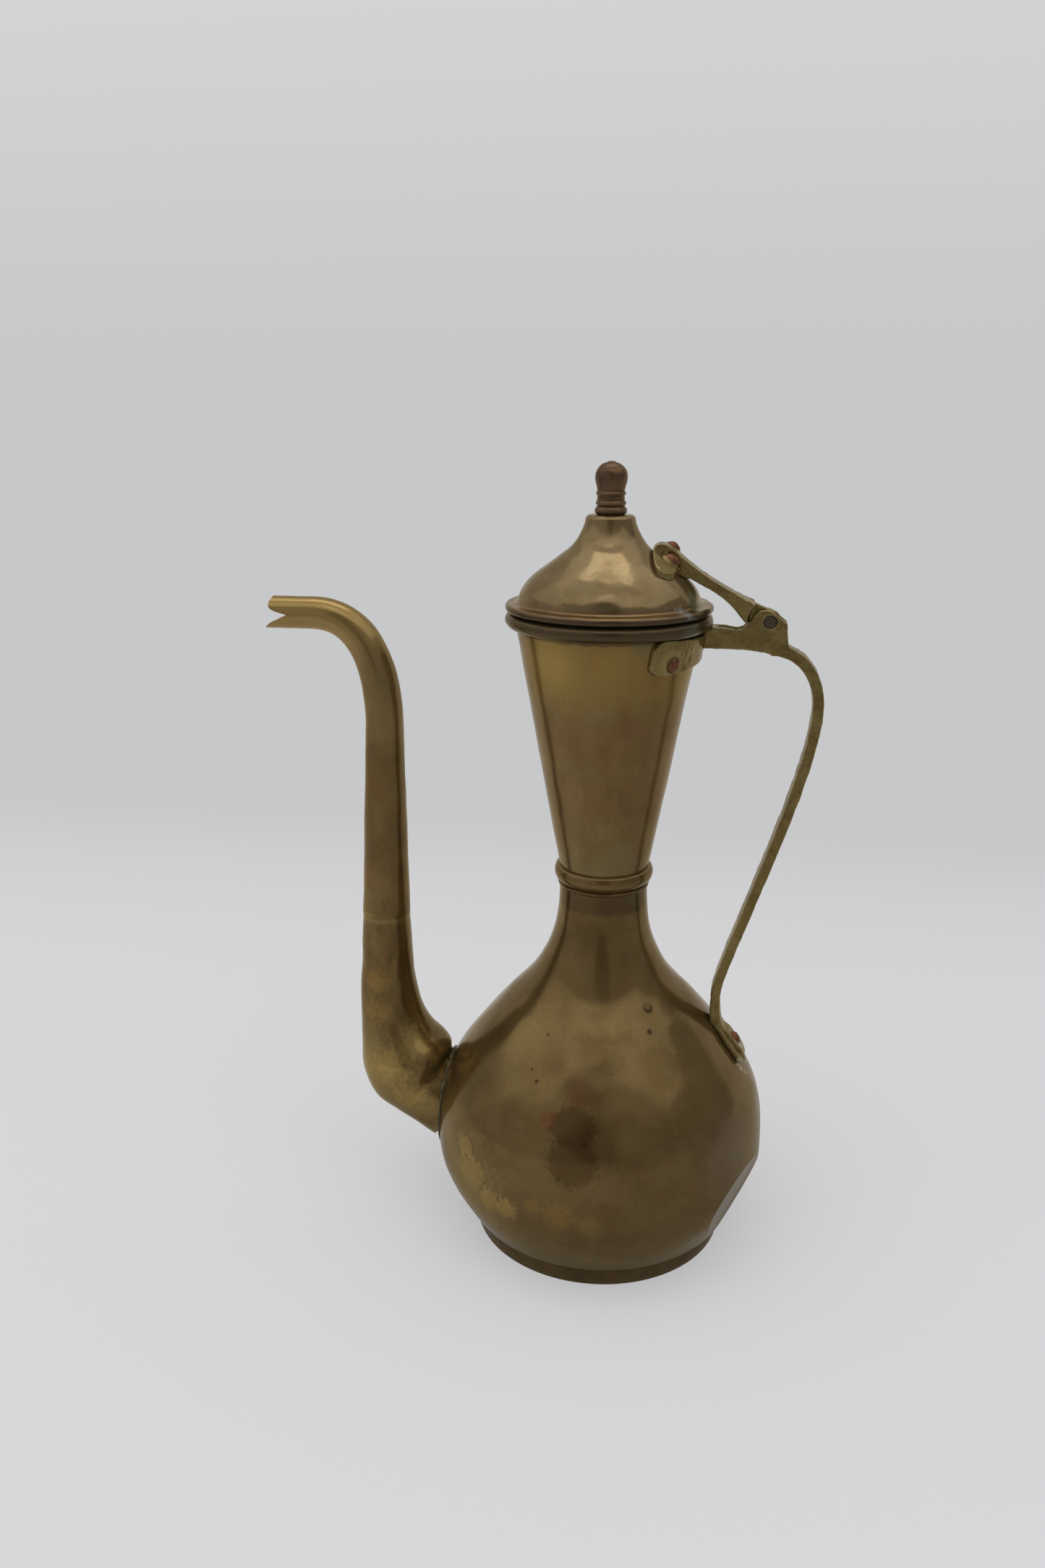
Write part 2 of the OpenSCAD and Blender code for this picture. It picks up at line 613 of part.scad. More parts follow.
module lid_strap() color("#8c7a42") difference() {
    union() {
        difference() {
            intersection() {
                side_plate(far) lid_strap_side();
                linear_extrude(height = 3 * mouth_z) lid_strap_plan();
            }
            for (side = [-1, 1]) translate([0, side * (tongue_w / 2 + far / 2), 0])
                at_hinge() cylinder(r = shoulder_r, h = far, center = true);
        }
        intersection() {
            skin(dome_outer, fit, pad_t);
            linear_extrude(height = 3 * mouth_z) pad_plan();
        }
        for (side = [-1, 1]) at_lid_rivet(side)
            cylinder(r1 = head_r + 2, r2 = head_r + 0.3, h = lid_seat(side));
        at_hinge() cylinder(r = eye_r, h = tongue_w, center = true);
    }
    turned(dome_outer, fit);
    translate([0, 0, lid_z]) rotate_extrude() translate([lid_r, 0]) circle(r = lid_roll + fit);
    at_hinge() cylinder(r = pin_r + fit, h = far, center = true);
    for (side = [-1, 1]) at_lid_rivet(side) {
        rivet_bore();
        head_seat(lid_seat(side));
    }
}

module lid_rivet_near() color("#8a5433") at_lid_rivet(-1) rivet(lid_seat(-1), dome_sheet, head_h * 1.2);
module lid_rivet_far() color("#8a5433") at_lid_rivet(1) rivet(lid_seat(1), dome_sheet, head_h * 1.2);

rove_t = 1.2;
rove_r = 5;
// Turned finial: a base bead, two fine rings and a round head, with a tenon through the dome.
module finial() color("#8a7440") translate([0, 0, peak_z]) {
    head = finial_d / 2;
    stem = head - 0.95;
    rotate_extrude() {
        square([stem, 10]);
        translate([head - 1.55, 1.5]) circle(r = 1.5);
        square([head - 0.5, 1]);
        translate([head - 1.35, 4.4]) circle(r = 0.9);
        translate([head - 1.4, 8.1]) circle(r = 0.9);
        polygon(concat(
            [[0, 9.8]],
            bez([[stem, 9.8], [stem + 0.2, 11.4], [head, 12.6], [head, finial_h - 6]], 6),
            tail(bez([[head, finial_h - 6], [head, finial_h - 2.8],
                [head * 0.6, finial_h], [0, finial_h]], 8))));
    }
    tail_z = -dome_sheet - rove_t - fit;
    translate([0, 0, tail_z]) cylinder(r = tenon_r, h = -tail_z + 1);
    translate([0, 0, tail_z - 1]) cylinder(r = tenon_r + 1, h = 1);
}

module finial_rove() color("#6d6044") translate([0, 0, peak_z - dome_sheet - fit / 2 - rove_t]) difference() {
    cylinder(r = rove_r, h = rove_t);
    cylinder(r = tenon_r + fit, h = far, center = true);
}

foot_ring();
base_disc();
bulb();
bulb_neck();
neck_collar();
neck_cone();
mouth_wire();
spout_elbow();
spout_tube();
spout_seam();
handle();
hinge_pin();
neck_rivet_near();
neck_rivet_far();
foot_rivet();
lid_dome();
lid_wire();
lid_bezel();
lid_strap();
lid_rivet_near();
lid_rivet_far();
finial();
finial_rove();
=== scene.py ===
"""Long-necked brass ewer with a hinged lid: surface shapes, finishes, light and camera.

Lengths in the code are millimetres in the part's own frame, and each mesh is written in metres.
"""
import logging
import math
from dataclasses import dataclass, field
from enum import Enum
from typing import Callable, Iterable, Sequence

import bmesh
import bpy
from mathutils import Matrix, Vector, noise


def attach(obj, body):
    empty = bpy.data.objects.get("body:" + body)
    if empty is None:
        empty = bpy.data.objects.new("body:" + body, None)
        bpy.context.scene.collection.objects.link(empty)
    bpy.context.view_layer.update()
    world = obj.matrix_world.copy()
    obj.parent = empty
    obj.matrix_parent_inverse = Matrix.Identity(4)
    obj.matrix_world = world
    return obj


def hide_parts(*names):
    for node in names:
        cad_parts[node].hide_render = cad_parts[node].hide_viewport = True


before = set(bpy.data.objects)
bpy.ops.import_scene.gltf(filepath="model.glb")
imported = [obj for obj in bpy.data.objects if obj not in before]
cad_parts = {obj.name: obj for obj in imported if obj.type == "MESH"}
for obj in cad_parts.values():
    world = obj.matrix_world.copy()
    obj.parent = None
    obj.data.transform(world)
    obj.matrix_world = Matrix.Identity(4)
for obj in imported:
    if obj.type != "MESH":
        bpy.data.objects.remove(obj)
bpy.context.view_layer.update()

LOG = logging.getLogger("ewer")

# A millimetre in metres, and the centimetres that the shaders work in.
MM = 0.001
CM_PER_M = 100.0
MM_PER_CM = 10

# Heights and radii shared by several pieces.
LIP_Z = 9.4
BULB_TOP = 166.0
MOUTH_Z = 274.8
LID_Z = 279.8
PEAK_Z = 316.0
FOOT_R = 55.0
FOOT_TOP_R = 56.5
BELLY_R = 72.3
NECK_R = 18.65
CONE_FOOT_R = 18.05
MOUTH_R = 38.8
MOUTH_ROLL = 3.0
CONE_SLOPE = (MOUTH_R - 0.8 - CONE_FOOT_R) / (MOUTH_Z - BULB_TOP)
CONE_TILT = math.degrees(math.atan(CONE_SLOPE))
LID_R = 40.1
LID_ROLL = 1.7
HINGE = Vector((63.8, 275.65))
BEAK_REACH = 143.5
BEAK_Z = 274.0


class Body(Enum):
    """The moving bodies that pieces ride on."""

    POT = "pot"
    LID = "lid"


class Slot(Enum):
    """The record's material slots."""

    FOOT = "foot_brass"
    BULB = "bulb_brass"
    CONE = "cone_brass"
    SPOUT = "spout_brass"
    LID = "lid_brass"
    FINIAL = "finial_brass"
    CAST = "cast_brass"
    COPPER = "copper"
    IRON = "iron"
    SOLDER = "solder"


# --- Curves in the plane of radius and height ---------------------------------------------------

Line = list[Vector]


def pt(x: float, y: float) -> Vector:
    """A point of the plane."""
    return Vector((x, y))


def along(p: Vector, angle: float, d: float) -> Vector:
    """The point at distance d from p in a direction given in degrees."""
    return p + pt(math.cos(math.radians(angle)), math.sin(math.radians(angle))) * d


def bez(p0: Vector, p1: Vector, p2: Vector, p3: Vector, n: int) -> Line:
    """Samples a cubic Bezier curve.

    Args:
        p0: start, p1 and p2: handles, p3: end.
        n: number of stretches.
    Returns:
        n + 1 points.
    """
    out = []
    for i in range(n + 1):
        t = i / n
        u = 1 - t
        out.append(p0 * u**3 + p1 * 3 * u * u * t + p2 * 3 * u * t * t + p3 * t**3)
    return out


def arc(c: Vector, r: float, a0: float, a1: float, n: int) -> Line:
    """Points on a circle from angle a0 to a1, in degrees."""
    return [along(c, a0 + (a1 - a0) * i / n, r) for i in range(n + 1)]


def joined(*parts: Line) -> Line:
    """Joins lines end to end, without repeated points.

    Args:
        parts: the lines in order.
    Returns:
        One line.
    """
    same = 1e-4
    out: Line = []
    for p in (q for part in parts for q in part):
        if not out or (p - out[-1]).length > same:
            out.append(p)
    return out


def inset(line: Line, d: float) -> Line:
    """Moves a line sideways.

    Args:
        line: the points.
        d: how far it moves to the left of its direction.
    Returns:
        The moved points.
    """
    out = []
    for i, p in enumerate(line):
        t = (line[min(i + 1, len(line) - 1)] - line[max(i - 1, 0)]).normalized()
        out.append(p + pt(-t.y, t.x) * d)
    return out


def radius_at(line: Line, z: float) -> float:
    """Finds the radius of a rising outline.

    Args:
        line: the outline's points.
        z: the height.
    Returns:
        The radius there, or the last point's where the outline doesn't reach.
    """
    for a, b in zip(line, line[1:]):
        if min(a.y, b.y) <= z <= max(a.y, b.y) and a.y != b.y:
            return a.x + (b.x - a.x) * (z - a.y) / (b.y - a.y)
    return line[-1].x


def rise_at(line: Line, z: float) -> float:
    """How far the wall's outward direction points up from level, in degrees."""
    step = 2
    lean = (radius_at(line, z - step) - radius_at(line, z + step)) / (2 * step)
    return math.degrees(math.atan(lean))


def smooth_lookup(t: float, table: Sequence[tuple[float, float]]) -> float:
    """Reads a value from a short table with eased slopes.

    Args:
        t: where to read.
        table: pairs of place and value, in order.
    Returns:
        The value at t.
    """
    xs = [a for a, _ in table]
    ys = [b for _, b in table]
    i = max(k for k, x in enumerate(xs[:-1]) if x <= t)
    h = xs[i + 1] - xs[i]

    def slope(k: int) -> float:
        """The mean slope about one entry."""
        lo, hi = max(k - 1, 0), min(k + 1, len(xs) - 1)
        return (ys[hi] - ys[lo]) / (xs[hi] - xs[lo])

    u = (t - xs[i]) / h
    a, b = ys[i], ys[i + 1]
    m0, m1 = slope(i) * h, slope(i + 1) * h
    return (a * (2 * u**3 - 3 * u * u + 1) + m0 * (u**3 - 2 * u * u + u)
            + b * (3 * u * u - 2 * u**3) + m1 * (u**3 - u * u))


BULB_EDGE = pt(59.94, 12.0)
BULB_BELLY = pt(BELLY_R, 42.9)
BULB_WAIST = pt(41.556, 108.216)
BULB_NECK = pt(NECK_R, 160.0)
BULB_OUTER = joined(
    bez(pt(57.2, LIP_Z), pt(58.6, LIP_Z), along(BULB_EDGE, 59.8, -1.4), BULB_EDGE, 8),
    bez(BULB_EDGE, along(BULB_EDGE, 59.8, 7.7), BULB_BELLY - pt(0, 12), BULB_BELLY, 24),
    bez(BULB_BELLY, BULB_BELLY + pt(0, 29), along(BULB_WAIST, 130.4, -39.3), BULB_WAIST, 48),
    bez(BULB_WAIST, along(BULB_WAIST, 130.4, 9.4), BULB_NECK - pt(0, 32.65), BULB_NECK, 40),
    [pt(NECK_R, BULB_TOP)])

DOME_EDGE = pt(LID_R - 3.4, LID_Z + 2.8)
DOME_TURN = pt(17.9, LID_Z + 21.8)
DOME_TOP = pt(10.0, PEAK_Z - 2.3)
DOME_OUTER = joined(
    bez(DOME_EDGE, along(DOME_EDGE, 99.8, 6.8), along(DOME_TURN, 144.4, -11.6), DOME_TURN, 40),
    bez(DOME_TURN, along(DOME_TURN, 144.4, 6.8), DOME_TOP - pt(0, 0.8), DOME_TOP, 24),
    bez(DOME_TOP, DOME_TOP + pt(0, 1.4), pt(9.0, PEAK_Z), pt(7.6, PEAK_Z), 8))


# --- Meshes -------------------------------------------------------------------------------------


def verts_of(geom: Iterable[object]) -> list[bmesh.types.BMVert]:
    """The vertices among an operator's results."""
    return [g for g in geom if isinstance(g, bmesh.types.BMVert)]


def shade(bm: bmesh.types.BMesh, angle: float) -> None:
    """Shades a mesh smooth except over sharp edges.

    Args:
        bm: the mesh.
        angle: edges that bend by more than this many degrees stay crisp.
    """
    limit = math.radians(angle)
    for f in bm.faces:
        f.smooth = True
    for e in bm.edges:
        e.smooth = len(e.link_faces) == 2 and e.calc_face_angle(0.0) < limit


def new_object(name: str, data: bpy.types.ID) -> bpy.types.Object:
    """Adds an object to the scene."""
    obj = bpy.data.objects.new(name, data)
    bpy.context.scene.collection.objects.link(obj)
    return obj


def object_of(name: str, bm: bmesh.types.BMesh) -> bpy.types.Object:
    """Adds a mesh to the scene as an object.

    Args:
        name: the object's and the mesh's name.
        bm: the mesh. It is freed.
    Returns:
        The object.
    """
    mesh = bpy.data.meshes.new(name)
    bm.to_mesh(mesh)
    bm.free()
    return new_object(name, mesh)


def lathe(section: Line, closed: bool = True, steps: int = 192) -> bmesh.types.BMesh:
    """Turns a section round the Z axis.

    Args:
        section: points of radius and height.
        closed: whether the last point joins the first.
        steps: divisions of the full turn.
    Returns:
        The turned mesh, in metres.
    """
    bm = bmesh.new()
    verts = [bm.verts.new((p.x * MM, 0, p.y * MM)) for p in section]
    pairs = list(zip(verts, verts[1:])) + ([(verts[-1], verts[0])] if closed else [])
    edges = [bm.edges.new(pair) for pair in pairs]
    bmesh.ops.spin(bm, geom=verts + edges, cent=(0, 0, 0), axis=(0, 0, 1), angle=math.tau,
                   steps=steps, use_merge=True)
    bmesh.ops.remove_doubles(bm, verts=bm.verts[:], dist=1e-7)
    bmesh.ops.recalc_face_normals(bm, faces=bm.faces[:])
    return bm


@dataclass
class Station:
    """One ring of a swept tube: its middle, its plane's axes and its radii, in millimetres."""

    centre: Vector
    across: Vector
    up: Vector
    r_across: float
    r_up: float

    def matrix(self) -> Matrix:
        """Finds this ring's place.

        Returns:
            The transform of a unit circle onto the ring, in metres.
        """
        x = self.across * self.r_across * MM
        y = self.up * self.r_up * MM
        z = self.across.cross(self.up) * MM
        m = Matrix((x, y, z)).transposed().to_4x4()
        m.translation = self.centre * MM
        return m


def sweep(stations: Sequence[Station], sides: int, loop: bool = False) -> bmesh.types.BMesh:
    """Draws a ring out along stations.

    Args:
        stations: the rings in order.
        sides: points in a ring.
        loop: whether the tube closes on itself.
    Returns:
        An open tube, or a closed loop of tube.
    """
    bm = bmesh.new()
    bmesh.ops.create_circle(bm, cap_ends=False, segments=sides, radius=1.0,
                            matrix=stations[0].matrix())
    first = ring = bm.edges[:]
    for a, b in zip(stations, stations[1:]):
        made = bmesh.ops.extrude_edge_only(bm, edges=ring)["geom"]
        verts = verts_of(made)
        fresh = set(verts)
        bmesh.ops.transform(bm, matrix=b.matrix() @ a.matrix().inverted(), verts=verts)
        ring = [g for g in made if isinstance(g, bmesh.types.BMEdge)
                and g.verts[0] in fresh and g.verts[1] in fresh]
    if loop:
        bmesh.ops.bridge_loops(bm, edges=first + ring)
    bmesh.ops.recalc_face_normals(bm, faces=bm.faces[:])
    return bm


def displace(bm: bmesh.types.BMesh, height: Callable[[Vector, Vector], float]) -> None:
    """Moves each point along its normal.

    Args:
        bm: the mesh.
        height: gives millimetres from a point in millimetres and its normal.
    """
    bm.normal_update()
    moves = [(v, v.normal.copy() * height(v.co / MM, v.normal) * MM) for v in bm.verts]
    for v, d in moves:
        v.co += d


def hammered(p: Vector, cell: float, depth: float, seed: float) -> float:
    """Shallow overlapping hammer dimples.

    Args:
        p: a point in millimetres.
        cell: mean distance between blows.
        depth: depth of a dimple.
        seed: shift of the pattern.
    Returns:
        The height in millimetres, at most 0.
    """
    brim = 0.7
    near = noise.voronoi((p + Vector((seed, seed * 1.7, -seed))) / cell)[0][0]
    return -depth * (1 - min(near / brim, 1.0) ** 2)


def rolling(p: Vector, size: float, height: float, seed: float) -> float:
    """Soft unevenness of hand-raised sheet, in millimetres."""
    return noise.noise((p + Vector((seed, -seed, seed * 0.6))) / size) * height


def blend01(x: float, lo: float, hi: float) -> float:
    """A smooth step from 0 at lo to 1 at hi."""
    t = min(max((x - lo) / (hi - lo), 0.0), 1.0)
    return t * t * (3 - 2 * t)


def direction(azimuth: float, rise: float) -> Vector:
    """A unit direction from degrees round the axis and degrees above level."""
    a, e = math.radians(azimuth), math.radians(rise)
    return Vector((math.cos(a) * math.cos(e), math.sin(a) * math.cos(e), math.sin(e)))


def on_wall(radius: float, z: float, rise: float, turn: float) -> Matrix:
    """A place on a turned wall.

    Args:
        radius: the wall's radius there, z: its height, in millimetres.
        rise: how far its outward direction points up, turn: degrees round the axis.
    Returns:
        The transform whose +Z is outward and whose +X runs down the wall, in metres.
    """
    return (Matrix.Rotation(math.radians(turn), 4, "Z")
            @ Matrix.Translation((radius * MM, 0, z * MM))
            @ Matrix.Rotation(math.radians(90 - rise), 4, "Y"))


@dataclass
class Piece:
    """What one finished piece is called, made of, moves with and stands for."""

    name: str
    slot: Slot
    body: Body
    replaces: tuple[str, ...] = ()
    sharp: float = 38.0

    def make(self, bm: bmesh.types.BMesh) -> bpy.types.Object:
        """Turns a mesh into a piece of the scene.

        Args:
            bm: the mesh, in metres. It is freed.
        Returns:
            The object, without its body and finish.
        """
        shade(bm, self.sharp)
        return object_of(self.name, bm)

    def place(self, obj: bpy.types.Object) -> bpy.types.Object:
        """Gives an object its finish and its body, and hides the nodes that it stands for.

        Args:
            obj: the finished object.
        Returns:
            The same object.
        """
        obj.data.materials.clear()
        obj.data.materials.append(FINISHES[self.slot])
        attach(obj, self.body.value)
        if self.replaces:
            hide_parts(*self.replaces)
        LOG.info("%s: %d faces", obj.name, len(obj.data.polygons))
        return obj

    def add(self, bm: bmesh.types.BMesh) -> bpy.types.Object:
        """Makes and places a piece in one step."""
        return self.place(self.make(bm))


def bake(obj: bpy.types.Object) -> None:
    """Applies an object's modifiers to its mesh.

    Args:
        obj: the object, which keeps the result and no modifiers.
    """
    graph = bpy.context.evaluated_depsgraph_get()
    graph.update()
    mesh = bpy.data.meshes.new_from_object(obj.evaluated_get(graph))
    old = obj.data
    obj.modifiers.clear()
    obj.data = mesh
    mesh.name = obj.name
    bpy.data.meshes.remove(old)


def set_sharp(obj: bpy.types.Object, angle: float) -> None:
    """Shades an object's mesh again after a cut.

    Args:
        obj: the object.
        angle: edges that bend by more than this many degrees stay crisp.
    """
    bm = bmesh.new()
    bm.from_mesh(obj.data)
    shade(bm, angle)
    bm.to_mesh(obj.data)
    bm.free()


# --- Shader groups ------------------------------------------------------------------------------

Colour = tuple[float, float, float]


def srgb(r: int, g: int, b: int) -> Colour:
    """Turns a screen colour into a linear one.

    Args:
        r: red, g: green, b: blue, each of 0 to 255.
    Returns:
        The linear colour.
    """
    def lin(v: int) -> float:
        """One channel."""
        c = v / 255
        return c / 12.92 if c <= 0.04045 else ((c + 0.055) / 1.055) ** 2.4
    return lin(r), lin(g), lin(b)


class Graph:
    """Short calls that add nodes to one shader tree."""

    def __init__(self, tree: bpy.types.NodeTree) -> None:
        """Holds the tree."""
        self.tree = tree

    def put(self, socket: bpy.types.NodeSocket, value: object) -> None:
        """Sets or links a socket.

        Args:
            socket: the input.
            value: a constant, or another socket to link it to.
        """
        if isinstance(value, bpy.types.NodeSocket):
            self.tree.links.new(value, socket)
        elif isinstance(value, tuple) and socket.type == "RGBA":
            socket.default_value = (*value[:3], 1.0)
        else:
            socket.default_value = value

    def node(self, kind: str, settings: dict[str, object] | None = None,
             **inputs: object) -> bpy.types.Node:
        """Adds a node.

        Args:
            kind: the node's type name.
            settings: its properties.
            inputs: its sockets by name, with underscores for spaces.
        Returns:
            The node.
        """
        made = self.tree.nodes.new(kind)
        for key, value in (settings or {}).items():
            setattr(made, key, value)
        for key, value in inputs.items():
            self.put(made.inputs[key.replace("_", " ")], value)
        return made

    def math(self, operation: str, a: object, b: object = 0.0, c: object = 0.0,
             clamp: bool = False) -> bpy.types.NodeSocket:
        """Adds one step of arithmetic.

        Args:
            operation: the node's operation.
            a: first value, b: second value, c: third value.
            clamp: whether the result is kept from 0 to 1.
        Returns:
            The result's socket.
        """
        made = self.node("ShaderNodeMath", {"operation": operation, "use_clamp": clamp})
        for socket, value in zip(made.inputs, (a, b, c)):
            self.put(socket, value)
        return made.outputs[0]

    def vector(self, operation: str, a: object, b: object = (0.0, 0.0, 0.0),
               out: int = 0) -> bpy.types.NodeSocket:
        """Adds one step of vector arithmetic.

        Args:
            operation: the node's operation.
            a: first vector, b: second vector.
            out: which output to give, 0 for the vector and 1 for the value.
        Returns:
            The output's socket.
        """
        made = self.node("ShaderNodeVectorMath", {"operation": operation})
        self.put(made.inputs[0], a)
        self.put(made.inputs[1], b)
        return made.outputs[out]

    def even(self, value: object) -> bpy.types.NodeSocket:
        """A vector with one value in all three places."""
        return self.node("ShaderNodeCombineXYZ", X=value, Y=value, Z=value).outputs["Vector"]

    def step(self, value: object, lo: object, hi: object) -> bpy.types.NodeSocket:
        """Adds a smooth step.

        Args:
            value: what it reads.
            lo: where it is 0, hi: where it is 1.
        Returns:
            The step's socket.
        """
        made = self.node("ShaderNodeMapRange", {"interpolation_type": "SMOOTHSTEP"})
        for name, v in (("Value", value), ("From Min", lo), ("From Max", hi)):
            self.put(made.inputs[name], v)
        return made.outputs["Result"]

    def noise(self, vector: object, scale: float, detail: float = 4.0,
              rough: float = 0.55) -> bpy.types.NodeSocket:
        """Adds fractal noise.

        Args:
            vector: where it is read.
            scale: its fineness, detail: its octaves, rough: how strong the fine ones are.
        Returns:
            A value of about 0 to 1.
        """
        made = self.node("ShaderNodeTexNoise", Vector=vector, Scale=scale, Detail=detail,
                         Roughness=rough)
        return made.outputs["Fac"]

    def mix(self, fac: object, a: object, b: object) -> bpy.types.NodeSocket:
        """Mixes two colours.

        Args:
            fac: how much of b is taken.
            a: first colour, b: second colour.
        Returns:
            The mixed colour's socket.
        """
        fac_in, a_in, b_in, colour_out = 0, 6, 7, 2
        made = self.node("ShaderNodeMix", {"data_type": "RGBA"})
        for index, value in ((fac_in, fac), (a_in, a), (b_in, b)):
            self.put(made.inputs[index], value)
        return made.outputs[colour_out]

    def mix_shaders(self, fac: object, a: bpy.types.Node, b: bpy.types.Node) -> bpy.types.Node:
        """Mixes two shaders.

        Args:
            fac: how much of b is taken.
            a: first shader, b: second shader.
        Returns:
            The node that mixes them.
        """
        made = self.node("ShaderNodeMixShader")
        for socket, value in zip(made.inputs, (fac, a.outputs[0], b.outputs[0])):
            self.put(socket, value)
        return made

    def group(self, name: str, **inputs: object) -> bpy.types.Node:
        """Adds one of the shared groups.

        Args:
            name: the group's name.
            inputs: its sockets by name, with underscores for spaces.
        Returns:
            The group's node.
        """
        made = self.tree.nodes.new("ShaderNodeGroup")
        made.node_tree = bpy.data.node_groups[name]
        for key, value in inputs.items():
            self.put(made.inputs[key.replace("_", " ")], value)
        return made


def blank_graph(holder: bpy.types.Material | bpy.types.World) -> Graph:
    """Turns on a material's or a world's nodes and empties them."""
    holder.use_nodes = True
    holder.node_tree.nodes.clear()
    return Graph(holder.node_tree)


Sockets = dict[str, bpy.types.NodeSocket]
PLACE = (0.0, 0.0, 0.0)


def new_group(name: str, takes: dict[str, object], gives: Sequence[str],
              build: Callable[[Graph, Sockets], Sockets]) -> None:
    """Makes a shader group.

    Args:
        name: the group's name.
        takes: inputs and their defaults, a tuple for a vector and a number for a value.
        gives: outputs, all of them values.
        build: adds the nodes and returns what each output gets.
    """
    tree = bpy.data.node_groups.new(name, "ShaderNodeTree")
    for key, value in takes.items():
        kind = "NodeSocketVector" if isinstance(value, tuple) else "NodeSocketFloat"
        tree.interface.new_socket(key, in_out="INPUT", socket_type=kind).default_value = value
    for key in gives:
        tree.interface.new_socket(key, in_out="OUTPUT", socket_type="NodeSocketFloat")
    graph = Graph(tree)
    source = tree.nodes.new("NodeGroupInput")
    sink = tree.nodes.new("NodeGroupOutput")
    made = build(graph, {key: source.outputs[key] for key in takes})
    for key in gives:
        graph.put(sink.inputs[key], made[key])


def patina(g: Graph, i: Sockets) -> Sockets:
    """Adds broad clouds, middle-sized blotches, fine grain and specks.

    Args:
        g: the group's tree, i: its inputs.
    Returns:
        The outputs by name.
    """
    warp = g.node("ShaderNodeTexNoise", Vector=i["Vector"], Scale=0.5, Detail=2.0)
    bent = g.vector("ADD", i["Vector"], warp.outputs["Color"])
    blotch = g.noise(bent, 1.1, detail=5.0, rough=0.6)
    return {"Cloud": g.step(g.noise(i["Vector"], 0.33, detail=3.0), lo=0.36, hi=0.66),
            "Blotch": g.step(blotch, lo=0.40, hi=0.62),
            "Mottle": g.step(g.noise(bent, 2.2, detail=4.0, rough=0.65), lo=0.40, hi=0.66),
            "Grain": g.noise(bent, 7.0, detail=5.0, rough=0.65),
            "Speck": g.step(g.noise(i["Vector"], 9.0, detail=2.0, rough=0.5), lo=0.66, hi=0.76)}


def spot(g: Graph, i: Sockets) -> Sockets:
    """Adds a ragged round patch about one point.

    Args:
        g: the group's tree, i: its inputs.
    Returns:
        The outputs by name.
    """
    far = g.vector("DISTANCE", i["Vector"], i["Centre"], out=1)
    edge = g.noise(i["Vector"], 5.0, detail=3.0, rough=0.6)
    off = g.math("MULTIPLY", g.math("SUBTRACT", edge, 0.5), i["Wobble"])
    near = g.math("DIVIDE", far, i["Radius"])
    inner = g.math("SUBTRACT", 1.0, i["Soft"])
    return {"Mask": g.step(g.math("ADD", near, off), lo=1.0, hi=inner)}


def band(g: Graph, i: Sockets) -> Sockets:
    """Adds a ragged level band between two heights.

    Args:
        g: the group's tree, i: its inputs.
    Returns:
        The outputs by name.
    """
    z = g.node("ShaderNodeSeparateXYZ", Vector=i["Vector"]).outputs["Z"]
    edge = g.math("SUBTRACT", g.noise(i["Vector"], 2.2, detail=4.0, rough=0.6), 0.5)
    z = g.math("ADD", z, g.math("MULTIPLY", edge, i["Wobble"]))
    low = g.step(z, lo=g.math("SUBTRACT", i["Low"], i["Soft"]), hi=i["Low"])
    high = g.step(z, lo=g.math("ADD", i["High"], i["Soft"]), hi=i["High"])
    return {"Mask": g.math("MULTIPLY", low, high)}


def hammer(g: Graph, i: Sockets) -> Sockets:
    """Adds the soft facets left by a planishing hammer.

    Args:
        g: the group's tree, i: its inputs.
    Returns:
        The outputs by name.
    """
    cell = g.node("ShaderNodeTexVoronoi", {"feature": "SMOOTH_F1"}, Vector=i["Vector"],
                  Scale=i["Scale"], Smoothness=0.35)
    return {"Height": g.math("POWER", cell.outputs["Distance"], 2.0)}


def scratches(g: Graph, i: Sockets) -> Sockets:
    """Adds fine crossing lines from years of scouring.

    Args:
        g: the group's tree, i: its inputs.
    Returns:
        The outputs by name.
    """
    total = None
    for turn, stretch in ((0.5, 26.0), (-0.9, 34.0), (1.45, 20.0)):
        bent = g.node("ShaderNodeMapping", Vector=i["Vector"], Rotation=(0.3, turn, turn * 0.6),
                      Scale=(stretch, 2.0, 1.2)).outputs["Vector"]
        line = g.step(g.noise(bent, 1.0, detail=2.0, rough=0.4), lo=0.64, hi=0.72)
        total = line if total is None else g.math("MAXIMUM", total, line)
    fade = g.step(g.noise(i["Vector"], 0.9, detail=2.0), lo=0.4, hi=0.65)
    return {"Mask": g.math("MULTIPLY", total, fade)}


def wear(g: Graph, i: Sockets) -> Sockets:
    """Adds rubbed edges and dirty hollows, from the surface's own bend.

    Args:
        g: the group's tree, i: its inputs.
    Returns:
        The outputs by name.
    """
    rag_depth = 0.03
    bend = g.node("ShaderNodeNewGeometry").outputs["Pointiness"]
    rag = g.math("SUBTRACT", g.noise(i["Vector"], 3.0, detail=4.0), 0.5)
    bend = g.math("ADD", bend, g.math("MULTIPLY", rag, rag_depth))
    return {"Edge": g.step(bend, lo=0.515, hi=0.56), "Hollow": g.step(bend, lo=0.488, hi=0.455)}


def filed(g: Graph, i: Sockets) -> Sockets:
    """Adds file strokes across a strap, spaced along its length.

    Args:
        g: the group's tree, i: its inputs.
    Returns:
        The outputs by name.
    """
    across = g.math("MULTIPLY", i["Side"], 0.16)
    bent = g.node("ShaderNodeCombineXYZ", X=i["Run"], Y=across).outputs["Vector"]
    return {"Height": g.noise(bent, 1.6, detail=4.0, rough=0.6),
            "Stroke": g.step(g.noise(bent, 0.9, detail=3.0, rough=0.55), lo=0.5, hi=0.68)}


